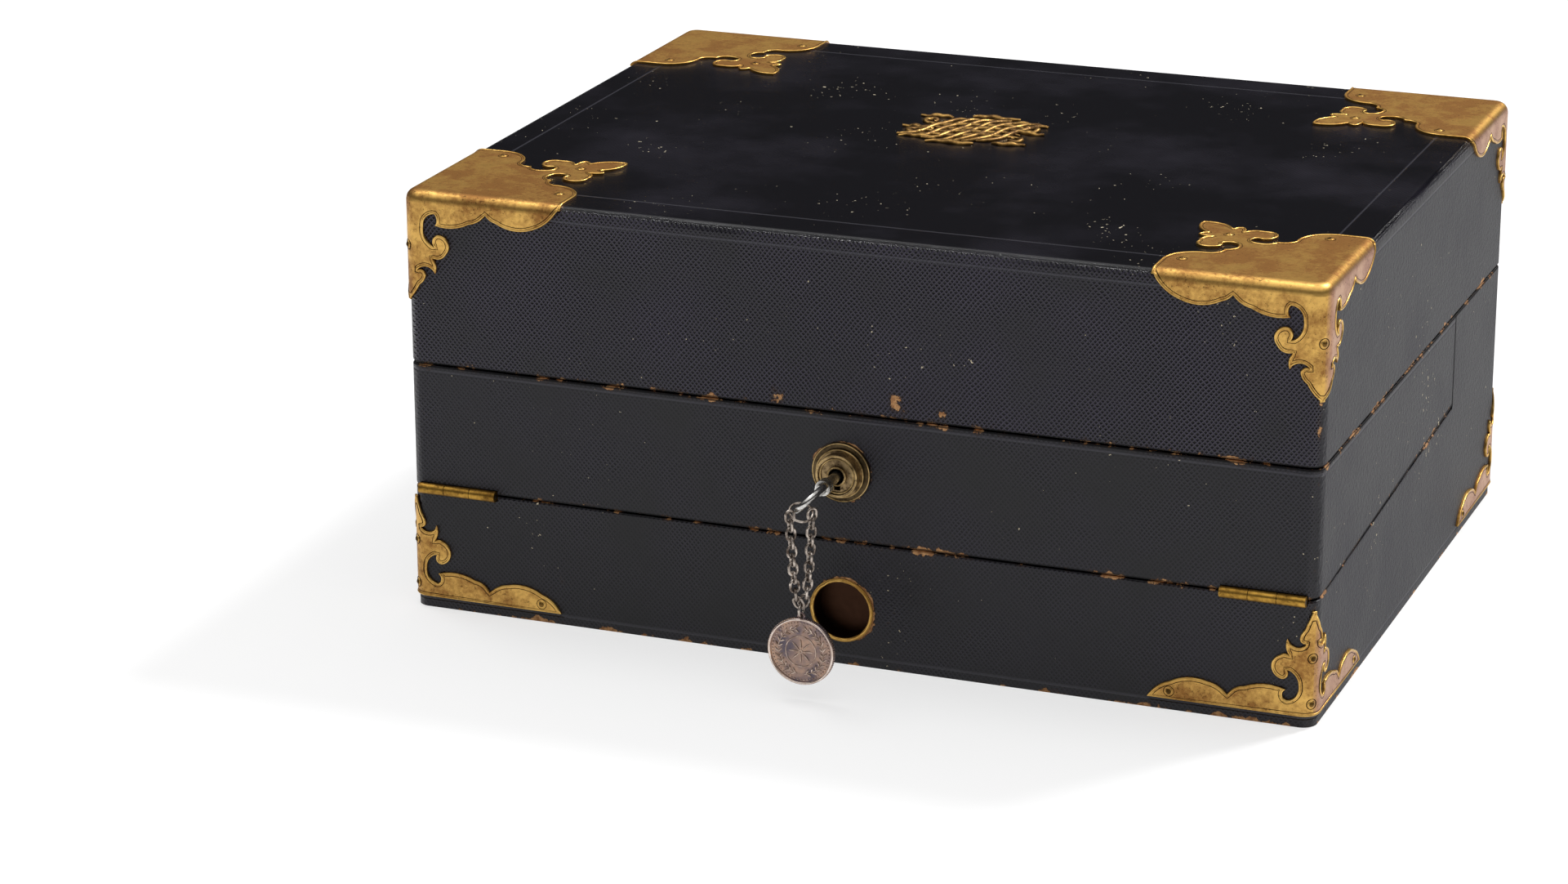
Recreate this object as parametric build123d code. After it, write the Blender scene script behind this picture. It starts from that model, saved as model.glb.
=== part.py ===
from build123d import *
import os
from math import cos, radians, sin, sqrt

# A travelling writing box: a hollow lid hinged at the back, a front section that folds out on two
# brass hinges to make a long writing slope, and a base with a full-height rear block for inkwells
# and pens. Leather over wood, brass corners, a box lock with its key, chain and token.
# Millimetres, +Z up, front towards -Y, origin in the middle of the bottom face.

# Overall box, over the leather
box_width = 320.0
box_depth = 251.0
box_height = 148.0
corner_radius = 5.0
top_edge_radius = 3.0
seam_radius = 0.8

# Where the three parts of the case meet
lid_bottom = 88.2
lid_gap = 0.5
base_front_height = 43.3
slope_height = 53.2
section_length = 180.7
fold_gap = 0.4
cut_gap = 0.3

# Case build
skin = 1.0
wall = 7.0
bottom_board = 6.0
lining = 0.8

# Brass corners
plate = 0.7
base_plate_height = 4.0
side_turn = 2.3
top_turn = 1.8
overrun = 2.0
ridge_nail_drop = 19.2
base_ridge_nails = (8.2, 23.9)
nail_head_radius = 1.2
nail_shank_radius = 0.5
nail_length = 5.0
nail_dome_drop = 0.5

# Rear hinges
rear_hinge_span = 190.0
rear_hinge_length = 40.0
rear_barrel_radius = 1.7
leaf = 0.8
leaf_width = 6.9
rear_axis_out = 1.0
leaf_to_pin = 0.2
hinge_pin_radius = 0.8

# Front hinges
front_hinge_inset = 3.5
front_hinge_length = 28.5
front_barrel_radius = 1.9
front_axis_out = 0.8

# Running clearances
pin_clearance = 0.05
knuckle_gap = 0.2
knuckle_relief = 0.25
loose = 0.3
close_fit = 0.1

# Writing flaps
flap = 4.0
writing_leather = 0.8
ledge = 6.0

# Rear compartment
divider = 5.0
divider_height = 66.0
well_side = 34.0
well_play = 1.75
well_height = 30.0
well_bore_radius = 10.0
well_floor = 5.0
well_neck_radius = 12.0
well_neck = 7.0
well_edge_radius = 2.5
riser_height = 32.0
cap_radius = 14.0
cap_height = 8.0
collar_height = 6.0
cap_edge_radius = 3.5
cap_recess = 2.0
cap_barrel_radius = 1.8
cap_barrel_length = 12.0
cap_pin_radius = 0.6
lug = 2.0
lug_bite = 2.5
tray_height = 14.0
tray_level = 62.0
tray_groove_radius = 7.5
tray_grooves = 3
tray_groove_rise = 1.0
tray_end = 5.0

# Lock, key, chain and token
lock_x = -2.1
lock_z = 67.8
boss_radius = 7.3
boss_out = 5.5
boss_rim = 0.8
boss_dish = 1.0
boss_step = 1.0
keyhole_rim = 0.6
flange_radius = 10.25
flange_thickness = 1.2
flange_step = 1.1
spigot_radius = 6.2
keyhole_radius = 2.75
keyhole_slot = 2.2
keyhole_drop = 5.0
case_width = 40.0
case_thickness = 13.7
case_bottom = 56.0
case_sheet = 1.0
board_before_case = 1.3
rail_length = 9.0
rail_thickness = 1.3
rail_fence = 5.0
bolt_thickness = 2.0
bolt_back = 2.9
bolt_over_bit = 1.3
bolt_tail = 2.4
bolt_nose = 4.0
bolt_under_staple = 0.8
finger_low = 1.5
finger_height = 2.2
finger_width = 2.2
finger_back = 0.6
talon_half = 3.0
talon_rise = 1.5
staple_spacing = 18.0
staple_width = 4.6
staple_thickness = 1.6
staple_depth = 8.4
staple_room = 0.8
staple_foot = 0.9
staple_eye = 3.4
eye_room = 0.6
link_plate_front = 1.2
link_plate_lap = 0.4
bolt_throw = 3.0
shank_radius = 1.8
shank_bore_radius = 0.95
bit_length = 5.0
bit_reach = 4.9
bit_thickness = 1.8
bit_root = 1.2
bit_notch = (2.0, 3.2)
bit_notch_depth = 1.5
key_end_gap = 1.5
pipe_depth = 12.0
drill_pin_length = 10.0
key_rest_angle = 45.0
collar_start = 14.2
collar_sleeve = 3.9
collar_pitch = 1.5
collar_width = 0.8
collar_rise = 0.8
key_collars = 3
bow_centre_out = 28.6
bow_half_length = 8.0
bow_half_width = 5.5
bow_wire_radius = 1.1
recess_radius = 9.95
recess_rim_radius = 11.15
recess_depth = 6.6
recess_sheet = 0.7
recess_floor = 0.8
recess_rim = 0.5
link_length = 5.0
link_width = 3.9
link_wire = 0.95
link_play = 0.1
ring_play = 0.09
links_per_strand = 11
key_ring_radius = 3.85
key_ring_wire = 0.8
key_ring_offset = (-0.7, -6.8, -2.6)
key_ring_tilt = (0.35, -0.42, 0.82)
strand_spread = 0.4
strand_end_gap = 0.6
token_ring_radius = 2.05
token_ring_wire = 0.9
token_ear_radius = 1.05
token_ear_wire = 0.8
token_ear_rise = 0.6
token_radius = 11.5
token_thickness = 1.6
token_rim = 1.0
token_sink = 0.25

# Ornament on the lid
ornament_x = -7.0
ornament_y = 17.5
ornament_thickness = 1.2
ornament_boss = 5.0
leaf_root = 3.4
leaf_swell = 5.8
leaf_reach = 23.0
scroll_at = 12.5
scroll_radius = 5.2
scroll_eye = 2.6
stem_length = 14.0
stem_width = 2.4

# Values worked out from the ones above
half_width = box_width / 2
half_depth = box_depth / 2
body_top = lid_bottom - lid_gap
section_back = -half_depth + section_length
block_front = section_back + cut_gap
slope = (slope_height - base_front_height) / (block_front + half_depth)
rim = skin + wall
inner_x = half_width - rim
inner_y = half_depth - rim
partition_back = block_front + skin + wall
ink_cell = well_side + 2 * well_play
rear_axis_y = half_depth + rear_axis_out
rear_axis_z = lid_bottom - lid_gap / 2
front_axis_y = -half_depth - front_axis_out
front_axis_z = base_front_height + fold_gap / 2
recess_z = 2 * front_axis_z - lock_z
case_front = -half_depth + skin + board_before_case
case_back = case_front + case_thickness
bolt_y = case_front + case_sheet + bolt_back
key_end = case_back - case_sheet - key_end_gap
bow_y = -half_depth - bow_centre_out


def slope_z(y):
    """Height of the base's sloping top at depth y."""
    return base_front_height + slope * (y + half_depth)


def block(x0, x1, y0, y1, z0, z1):
    """Plain block between two corners."""
    return Pos((x0 + x1) / 2, (y0 + y1) / 2, (z0 + z1) / 2) * Box(x1 - x0, y1 - y0, z1 - z0)


def side_prism(points, x0, x1):
    """Prism along X from a (y, z) outline."""
    return Pos(x0, 0, 0) * extrude(Plane.YZ * make_face(Polyline(*points, close=True)), amount=x1 - x0)


def slope_slab(x0, x1, y0, y1, low, high):
    """Slab that follows the slope, low and high being heights above it."""
    z0, z1 = slope_z(y0), slope_z(y1)
    outline = [(y0, z0 + low), (y1, z1 + low), (y1, z1 + high), (y0, z0 + high)]
    return side_prism(outline, x0, x1)


def rod_x(radius, x0, x1, y, z):
    """Round rod along X."""
    return Pos((x0 + x1) / 2, y, z) * Rot(0, 90, 0) * Cylinder(radius, x1 - x0)


def rod_y(radius, y0, y1, x, z):
    """Round rod along Y."""
    return Pos(x, (y0 + y1) / 2, z) * Rot(90, 0, 0) * Cylinder(radius, y1 - y0)


def both_sides(shape):
    """A shape and its mirror image across the middle of the box."""
    return [shape, mirror(shape, about=Plane.YZ)]


def four_corners(shape):
    """The front right corner's shape at all four corners."""
    front = both_sides(shape)
    return front + [mirror(piece, about=Plane.XZ) for piece in front]


def plan_prism(inset, z0, z1):
    """The box's rounded plan, set in by inset, between two heights."""
    plan = RectangleRounded(box_width - 2 * inset, box_depth - 2 * inset, corner_radius - inset)
    return Pos(0, 0, z0) * extrude(plan, z1 - z0)


def lid_form(inset):
    """Outer form of the lid, set in from its leather by inset."""
    form = plan_prism(inset, lid_bottom + inset, box_height - inset)
    return fillet(form.faces().sort_by(Axis.Z)[-1].edges(), top_edge_radius - inset)


def section_form(inset):
    """Outer form of the folding section, set in from its leather by inset."""
    front = -half_depth - rim
    back = section_back - inset
    low = fold_gap + inset
    top = body_top - inset
    outline = [(front, slope_z(front) + low), (back, slope_z(back) + low), (back, top), (front, top)]
    return plan_prism(inset, 0, box_height) & side_prism(outline, -box_width, box_width)


def base_form(inset):
    """Outer form of the base with its rear block, set in from its leather by inset."""
    front = -half_depth - rim
    face = block_front + inset
    outline = [
        (front, 0),
        (box_depth, 0),
        (box_depth, body_top - inset),
        (face, body_top - inset),
        (face, slope_z(face) - inset),
        (front, slope_z(front) - inset),
    ]
    return plan_prism(inset, 0, box_height) & side_prism(outline, -box_width, box_width)


def soften_seam(form, height, tolerance=0.6):
    """Round the outer edges of a form that lie along a seam at height(y)."""
    seam = [
        edge
        for edge in form.edges()
        if all(abs((edge @ t).Z - height((edge @ t).Y)) < tolerance for t in (0, 0.5, 1))
        and abs((edge @ 0.5).Y - block_front) > 1
    ]
    return fillet(seam, seam_radius)


def boards(form, x_inner, y_front, y_back):
    """Split a ring of wood into its front, back, left and right boards."""
    reach = box_width
    front = form & block(-reach, reach, -reach, y_front, -reach, reach)
    back = form & block(-reach, reach, y_back, reach, -reach, reach)
    left = form & block(-reach, -x_inner, y_front, y_back, -reach, reach)
    right = form & block(x_inner, reach, y_front, y_back, -reach, reach)
    return front, back, left, right


def arcs(points):
    """Arcs through a row of points: end, middle, end, middle, end and so on."""
    return [ThreePointArc(*points[i:i + 3]) for i in range(0, len(points) - 2, 2)]


def nail(place, outward):
    """Domed nail with its head on the plate at place."""
    across = 4 * nail_head_radius
    dome = Pos(0, 0, -nail_dome_drop) * Sphere(nail_head_radius)
    dome = dome & Pos(0, 0, across / 2) * Box(across, across, across)
    shank = Pos(0, 0, -nail_length / 2) * Cylinder(nail_shank_radius, nail_length)
    return Plane(origin=place, z_dir=outward).location * (dome + shank)


def nail_hole(place, outward):
    """Hole that a nail's shank fills."""
    shank = Pos(0, 0, -nail_length / 2) * Cylinder(nail_shank_radius, nail_length)
    return Plane(origin=place, z_dir=outward).location * shank


# Outlines of the brass corners, in (u, v): u from the corner's upright edge, v away from its
# top or bottom edge, each a row of arc ends and middles.
lid_face_outline = [
    (58.4, 0), (55, 5.2), (48.4, 9.3), (41.4, 10.3), (34.9, 8.3), (32.8, 7.4), (31.3, 5.9), (28.8, 8.3),
    (25.1, 9.7), (19, 11.7), (12.6, 11.3), (13.3, 9.4), (12.5, 7.3), (9.6, 8.4), (8.2, 11.8), (8.7, 15.7),
    (12.3, 18.9), (11.5, 16.6), (13, 14.6), (17.2, 16.6), (16.6, 20.8), (14.4, 22.8), (11.2, 22.7),
    (12.6, 25.2), (12.2, 28.2), (9.4, 26), (5.6, 27.4), (8, 27.6), (8.7, 29), (7.9, 31), (6.4, 32.4),
    (4.6, 35.2), (1.67, 38.4),
]
base_face_outline = [
    (56.3, 0), (53, 4), (49.1, 6), (42.6, 8.3), (36.3, 7.8), (32.4, 6.6), (29.4, 4.1), (27.2, 6.7),
    (24, 7.8), (17, 9.6), (10.1, 8.6), (11.1, 6.8), (9.5, 5), (6.3, 7.4), (5.8, 10.6), (6.9, 13.8),
    (9.8, 15.6), (9.6, 13.3), (11.4, 12.2), (15, 15.8), (12.2, 20.4), (10.5, 21), (8.9, 20.3),
    (10.3, 23), (9.9, 26.2), (7, 23.6), (3.7, 25.1), (5.4, 25.6), (5.8, 27), (5.2, 28.8), (4.2, 30.2),
    (3.2, 33), (1.67, 36),
]
lid_top_outline = [
    (58.4, 12), (55, 20.4), (46.2, 23.6), (43.4, 25.6), (42.8, 29), (39.6, 31.6), (39.8, 35), (42.4, 37.6),
    (45.4, 36), (45, 33), (47.4, 31), (52.2, 31.6), (53.4, 36), (53, 40), (50.4, 42.2), (53.2, 42.2),
    (55.6, 43.6), (55, 45.4), (53.2, 46.6), (57.6, 51.2), (58.2, 58.2),
]
lid_top_nails = ((52.3, 14), (14, 52.3), (46, 46))
base_side_nail = (49, 2.6)


def face_prism(outline, plane, depth):
    """Prism from a corner's outline on one of its faces."""
    start, tip = outline[0], outline[-1]
    closing = Polyline(
        tip, (-overrun, tip[1] + tip[0] / 3), (-overrun, -overrun), (start[0], -overrun), start,
    )
    return plane * extrude(make_face(arcs(outline) + closing.edges()), amount=depth, both=True)


def top_prism(plane, depth):
    """Prism from the lid corner's outline on the top face, the same both sides of its diagonal."""
    start = lid_top_outline[0]
    swapped = [(v, u) for u, v in reversed(lid_top_outline)]
    first = Line((start[0], -overrun), start)
    last = Polyline(
        (start[1], start[0]), (-overrun, start[0]), (-overrun, -overrun), (start[0], -overrun),
    )
    edges = [first] + arcs(lid_top_outline) + arcs(swapped) + last.edges()
    return plane * extrude(make_face(edges), amount=depth, both=True)


def ridge_point(z):
    """Point on the plate's outer face, on the ridge of the front right upright edge."""
    in_from_edge = (corner_radius + plate) * (1 - 1 / sqrt(2))
    return (half_width + plate - in_from_edge, -half_depth - plate + in_from_edge, z)


def mirrored_nails(places):
    """Nails at all four corners from the front right one's places."""
    heads, holes = [], []
    for x_side in (1, -1):
        for y_side in (1, -1):
            for place, outward in places:
                x, y, z = place
                a, b, c = outward
                spot = (x_side * x, y_side * y, z)
                heading = (x_side * a, y_side * b, c)
                heads.append(nail(spot, heading))
                holes.append(nail_hole(spot, heading))
    return heads, holes


def lid_corner():
    """Brass corner over the lid's top, front and right faces."""
    edge_x, edge_y, top = half_width + plate, -half_depth - plate, box_height + plate
    shell = lid_form(-plate) - lid_form(0)
    front_plane = Plane(origin=(edge_x, edge_y, top), x_dir=(-1, 0, 0), z_dir=(0, -1, 0))
    front = face_prism(lid_face_outline, front_plane, side_turn)
    ridge = Plane(origin=(edge_x, edge_y, 0), z_dir=(1, 1, 0))
    side = mirror(front, about=ridge)
    top_plane = Plane(origin=(edge_x, edge_y, top), x_dir=(-1, 0, 0), z_dir=(0, 0, -1))
    return (shell & front) + (shell & side) + (shell & top_prism(top_plane, top_turn))


def base_corner():
    """Brass corner over the base's front and right faces."""
    edge_x, edge_y = half_width + plate, -half_depth - plate
    shell = base_form(-plate) - base_form(0)
    front_plane = Plane(origin=(edge_x, edge_y, base_plate_height), x_dir=(-1, 0, 0), z_dir=(0, 1, 0))
    front = face_prism(base_face_outline, front_plane, side_turn)
    front = front - block(-half_width, box_width, -box_depth, box_depth, -box_height, base_plate_height)
    ridge = Plane(origin=(edge_x, edge_y, 0), z_dir=(1, 1, 0))
    return (shell & front) + (shell & mirror(front, about=ridge))


def knuckle_spans(start, length):
    """The three knuckles of a hinge: spans of the outer two and of the middle one."""
    third = length / 3
    half = knuckle_gap / 2
    outer = [(start, start + third - half), (start + 2 * third + half, start + length)]
    middle = [(start + third + half, start + 2 * third - half)]
    return outer, middle


def hinge_leaf(plate_part, spans, other_spans, radius, pin_radius, y, z):
    """A hinge leaf: its plate with its own knuckles, relieved round the other leaf's."""
    piece = plate_part
    for x0, x1 in other_spans:
        piece = piece - rod_x(radius + knuckle_relief, x0 - knuckle_gap, x1 + knuckle_gap, y, z)
    for x0, x1 in spans:
        piece = piece + rod_x(radius, x0, x1, y, z)
    reach = max(x1 for _, x1 in spans + other_spans)
    start = min(x0 for x0, _ in spans + other_spans)
    return piece - rod_x(pin_radius, start - 1, reach + 1, y, z)


def rear_hinge(start):
    """Lid leaf, base leaf and pin of one rear butt hinge."""
    outer, middle = knuckle_spans(start, rear_hinge_length)
    front = half_depth - leaf_width
    back = rear_axis_y - hinge_pin_radius - leaf_to_pin
    end = start + rear_hinge_length
    upper = block(start, end, front, back, lid_bottom, lid_bottom + leaf)
    lower = block(start, end, front, back, body_top - leaf, body_top)
    shape = (rear_barrel_radius, hinge_pin_radius + pin_clearance, rear_axis_y, rear_axis_z)
    held = (rear_barrel_radius, hinge_pin_radius, rear_axis_y, rear_axis_z)
    lid_leaf = hinge_leaf(upper, middle, outer, *shape)
    base_leaf = hinge_leaf(lower, outer, middle, *held)
    pin = rod_x(hinge_pin_radius, start, end, rear_axis_y, rear_axis_z)
    return lid_leaf, base_leaf, pin


def front_hinge(start):
    """Section leaf, base leaf and pin of one folding hinge."""
    outer, middle = knuckle_spans(start, front_hinge_length)
    end = start + front_hinge_length
    front = front_axis_y + hinge_pin_radius + leaf_to_pin
    back = -half_depth + leaf_width
    upper = slope_slab(start, end, front, back, fold_gap, fold_gap + leaf)
    lower = slope_slab(start, end, front, back, -leaf, 0)
    held = (front_barrel_radius, hinge_pin_radius, front_axis_y, front_axis_z)
    running = (front_barrel_radius, hinge_pin_radius + pin_clearance, front_axis_y, front_axis_z)
    section_leaf = hinge_leaf(upper, middle, outer, *running)
    base_leaf = hinge_leaf(lower, outer, middle, *held)
    pin = rod_x(hinge_pin_radius, start, end, front_axis_y, front_axis_z)
    return section_leaf, base_leaf, pin


def keyhole(y0, y1):
    """The keyhole's space between two depths: a round hole with a slot below it."""
    round_hole = rod_y(keyhole_radius, y0, y1, lock_x, lock_z)
    half = keyhole_slot / 2
    return round_hole + block(lock_x - half, lock_x + half, y0, y1, lock_z - keyhole_drop, lock_z)


def staple_centres():
    """Where the two staples of the link plate come down."""
    return (lock_x - staple_spacing / 2, lock_x + staple_spacing / 2)


def case_block(top):
    """Space of the lock's case, up to a given height."""
    half = case_width / 2
    return block(lock_x - half, lock_x + half, case_front, case_back, case_bottom, top)


def make_lock_case():
    """Box lock's case, with slots for the staples, rails for the bolt and the pin the key turns on."""
    x0, x1 = lock_x - case_width / 2, lock_x + case_width / 2
    hollow = block(
        x0 + case_sheet, x1 - case_sheet, case_front + case_sheet, case_back - case_sheet,
        case_bottom + case_sheet, body_top - case_sheet,
    )
    case = case_block(body_top) - hollow
    half_slot = staple_thickness / 2 + staple_room
    half_depth_slot = staple_width / 2 + eye_room
    for x in staple_centres():
        case = case - block(
            x - half_slot, x + half_slot, bolt_y - half_depth_slot, bolt_y + half_depth_slot,
            body_top - 2 * case_sheet, body_top + overrun,
        )
    rail_top = bolt_bottom() - close_fit
    rail_low = rail_top - rail_thickness
    fence = bolt_y + bolt_thickness / 2 + close_fit
    left = (x0 + case_sheet, x0 + case_sheet + rail_length)
    right = (x1 - case_sheet - rail_length, x1 - case_sheet)
    fence_back = fence + case_sheet
    for low, high in (left, right):
        case = case + block(low, high, case_front + case_sheet, fence_back, rail_low, rail_top)
        case = case + block(low, high, fence, fence_back, rail_low, rail_top + rail_fence)
    return case - keyhole(case_front - overrun, case_front + 2 * case_sheet)


def bolt_bottom():
    """Lower edge of the bolt, just over the circle that the key's bit sweeps."""
    return lock_z + bit_reach + bolt_over_bit


def make_lock_bolt():
    """Sliding bolt with two fingers that pass through the staples' eyes."""
    y0, y1 = bolt_y - bolt_thickness / 2, bolt_y + bolt_thickness / 2
    low = bolt_bottom()
    staple_low = lid_bottom - staple_depth
    finger_bottom = staple_low + finger_low
    finger_top = finger_bottom + finger_height
    x_left, x_right = staple_centres()
    stop = staple_thickness / 2 + bolt_throw + loose
    bolt = block(
        x_left - stop - bolt_tail, x_right + bolt_nose, y0, y1, low, staple_low - bolt_under_staple,
    )
    for x in (x_left, x_right):
        tip = x - staple_thickness / 2 - finger_back
        bolt = bolt + block(x - stop - finger_width, x - stop, y0, y1, low, finger_top)
        bolt = bolt + block(x - stop, tip, y0, y1, finger_bottom, finger_top)
    talon = block(
        lock_x - talon_half, lock_x + talon_half, y0 - overrun, y1 + overrun, low - overrun, low + talon_rise,
    )
    return bolt - talon


def link_block(bottom):
    """Space of the link plate in the lid's rim, from a given height up."""
    half = case_width / 2
    front = -half_depth + link_plate_front
    back = -inner_y + link_plate_lap
    return block(lock_x - half, lock_x + half, front, back, bottom, lid_bottom + skin)


def make_link_plate():
    """Plate in the lid's rim with two staples that the bolt passes through."""
    link = link_block(lid_bottom)
    low = lid_bottom - staple_depth
    half = staple_thickness / 2
    half_width_y = staple_width / 2
    half_eye = bolt_thickness / 2 + eye_room
    eye_low = low + staple_foot
    for x in staple_centres():
        staple = block(x - half, x + half, bolt_y - half_width_y, bolt_y + half_width_y, low, lid_bottom)
        eye = block(
            x - staple_thickness, x + staple_thickness, bolt_y - half_eye, bolt_y + half_eye,
            eye_low, eye_low + staple_eye,
        )
        link = link + (staple - eye)
    return link


def make_escutcheon():
    """Round brass lock face: flange, boss with a rim, and a spigot through the wall to the case."""
    face = -half_depth
    out = face - boss_out
    piece = rod_y(flange_radius, face - flange_thickness, face, lock_x, lock_z)
    step_out = face - flange_thickness - flange_step
    piece = piece + rod_y(boss_radius + boss_step, step_out, face, lock_x, lock_z)
    piece = piece + rod_y(boss_radius, out, face, lock_x, lock_z)
    piece = piece + rod_y(spigot_radius, face, case_front, lock_x, lock_z)
    dish = rod_y(boss_radius - boss_rim, out - overrun, out + boss_dish, lock_x, lock_z)
    dish = dish - rod_y(keyhole_radius + keyhole_rim, out - 2 * overrun, out + overrun, lock_x, lock_z)
    return piece - dish - keyhole(out - overrun, case_front + overrun)


def make_key():
    """Key with an oval bow, turned collars, a pipe shank and a notched bit."""
    collar = -half_depth - collar_start
    bow_near = bow_y + bow_half_length
    key = rod_y(shank_radius, bow_near, key_end, lock_x, lock_z)
    key = key + rod_y(shank_radius + collar_rise / 2, collar - collar_sleeve, collar, lock_x, lock_z)
    for i in range(key_collars):
        back = collar - collar_pitch * i
        key = key + rod_y(shank_radius + collar_rise, back - collar_width, back, lock_x, lock_z)
    lean = radians(key_rest_angle)
    bow_plane = Plane(origin=(lock_x, bow_y, lock_z), x_dir=(0, -1, 0), z_dir=(-sin(lean), 0, cos(lean)))
    oval = Wire([
        Edge.make_ellipse(
            bow_half_length, bow_half_width, plane=bow_plane, start_angle=start, end_angle=start + 180,
        )
        for start in (90, 270)
    ])
    wire = Plane(origin=oval @ 0, z_dir=oval % 0) * Circle(bow_wire_radius)
    key = key + sweep(wire, path=oval)
    half = bit_thickness / 2
    bit = block(-half, half, key_end - bit_length, key_end, -bit_reach, -bit_root)
    notch_back, notch_front = bit_notch
    bit = bit - block(
        -overrun, overrun, key_end - notch_front, key_end - notch_back,
        -bit_reach - overrun, -bit_reach + bit_notch_depth,
    )
    key = key + Pos(lock_x, 0, lock_z) * Rot(0, key_rest_angle, 0) * bit
    return key - rod_y(shank_bore_radius, key_end - pipe_depth, key_end + overrun, lock_x, lock_z)


def loop(half_length, half_width, wire_radius):
    """Closed ring of round wire lying flat, its long way along X."""
    if half_length > half_width:
        path = SlotCenterToCenter(2 * (half_length - half_width), 2 * half_width).wire()
    else:
        path = Circle(half_width).wire()
    section = Plane(origin=path @ 0, z_dir=path % 0) * Circle(wire_radius)
    return sweep(section, path=path)


# The ring through the bow's outer end, and how the chain's links follow each other
key_ring_centre = Vector(lock_x, bow_y, lock_z) + Vector(key_ring_offset)
key_ring_normal = Vector(key_ring_tilt).normalized()
key_ring_across = Vector(0, 0, 1).cross(key_ring_normal).normalized()
link_pitch = link_length - 2 * link_wire - link_play
link_size = ((link_length - link_wire) / 2, (link_width - link_wire) / 2, link_wire / 2)


def strand_joints(side):
    """Points where one strand's links meet, from the key ring down to the token's ring."""
    half = key_ring_across * key_ring_radius
    points = [key_ring_centre + half * side + Vector(0, 0, link_wire / 2)]
    for i in range(1, links_per_strand + 1):
        spread = (1 - i / links_per_strand) ** strand_spread
        x = key_ring_centre.X + side * half.X * spread
        y = key_ring_centre.Y + side * (strand_end_gap + (half.Y - strand_end_gap) * spread)
        last = points[-1]
        drop = sqrt(link_pitch ** 2 - (x - last.X) ** 2 - (y - last.Y) ** 2)
        points.append(Vector(x, y, last.Z - drop))
    return points


token_x, token_y = key_ring_centre.X, key_ring_centre.Y
token_ring_z = strand_joints(1)[-1].Z + link_wire / 2 + ring_play - token_ring_radius
ear_reach = token_ear_rise + token_ear_radius - token_ear_wire / 2 - token_ring_wire / 2 - link_play
token_top = token_ring_z - token_ring_radius - ear_reach
token_z = token_top - token_radius


def strand(side):
    """One strand of small oval links, each turned a quarter from the one above it."""
    points = strand_joints(side)
    links = []
    for i in range(links_per_strand):
        along = (points[i + 1] - points[i]).normalized()
        settle = min(1, (links_per_strand - 1 - i) / 2)
        twist = 90 * (i % 2) - 45 * settle
        normal = Vector(0, 1, 0) - along * along.Y
        place = Plane(origin=(points[i] + points[i + 1]) / 2, x_dir=along, z_dir=normal)
        links.append(place.location * Rot(twist, 0, 0) * loop(*link_size))
    return links


def make_rings():
    """Ring through the key's bow, and the small ring on the token."""
    key_ring = Plane(origin=key_ring_centre, z_dir=key_ring_normal).location
    token_ring = Plane(origin=(token_x, token_y, token_ring_z), z_dir=(1, 0, 0)).location
    return [
        key_ring * loop(key_ring_radius, key_ring_radius, key_ring_wire / 2),
        token_ring * loop(token_ring_radius, token_ring_radius, token_ring_wire / 2),
    ]


def make_token():
    """Round token with a raised rim and a small soldered loop."""
    y0, y1 = token_y - token_thickness / 2, token_y + token_thickness / 2
    disc = rod_y(token_radius, y0, y1, token_x, token_z)
    for low, high in ((y0 - overrun, y0 + token_sink), (y1 - token_sink, y1 + overrun)):
        disc = disc - rod_y(token_radius - token_rim, low, high, token_x, token_z)
    ear_place = Plane(origin=(token_x, token_y, token_top + token_ear_rise), z_dir=(0, 1, 0))
    ear = ear_place.location * loop(token_ear_radius, token_ear_radius, token_ear_wire / 2)
    return disc + ear


def make_ornament():
    """Scrolled foliate mount on the lid: four leaves, four scrolls and a boss."""
    piece = Circle(ornament_boss)
    root_low, root_high, tip = (0, -leaf_root), (0, leaf_root), (leaf_reach, 0)
    leaf_shape = make_face([
        ThreePointArc(root_low, (leaf_reach / 2, -leaf_swell), tip),
        ThreePointArc(tip, (leaf_reach / 2, leaf_swell), root_high),
        Line(root_high, root_low),
    ])
    scroll = Pos(scroll_at, scroll_at) * (Circle(scroll_radius) - Circle(scroll_eye))
    stem = Rot(0, 0, 45) * Pos(stem_length / 2, 0) * Rectangle(stem_length, stem_width)
    for turn in range(4):
        piece = piece + Rot(0, 0, 90 * turn) * leaf_shape
        piece = piece + Rot(0, 0, 90 * turn) * (scroll + stem)
    return Pos(ornament_x, ornament_y, box_height) * extrude(piece, ornament_thickness)


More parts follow.
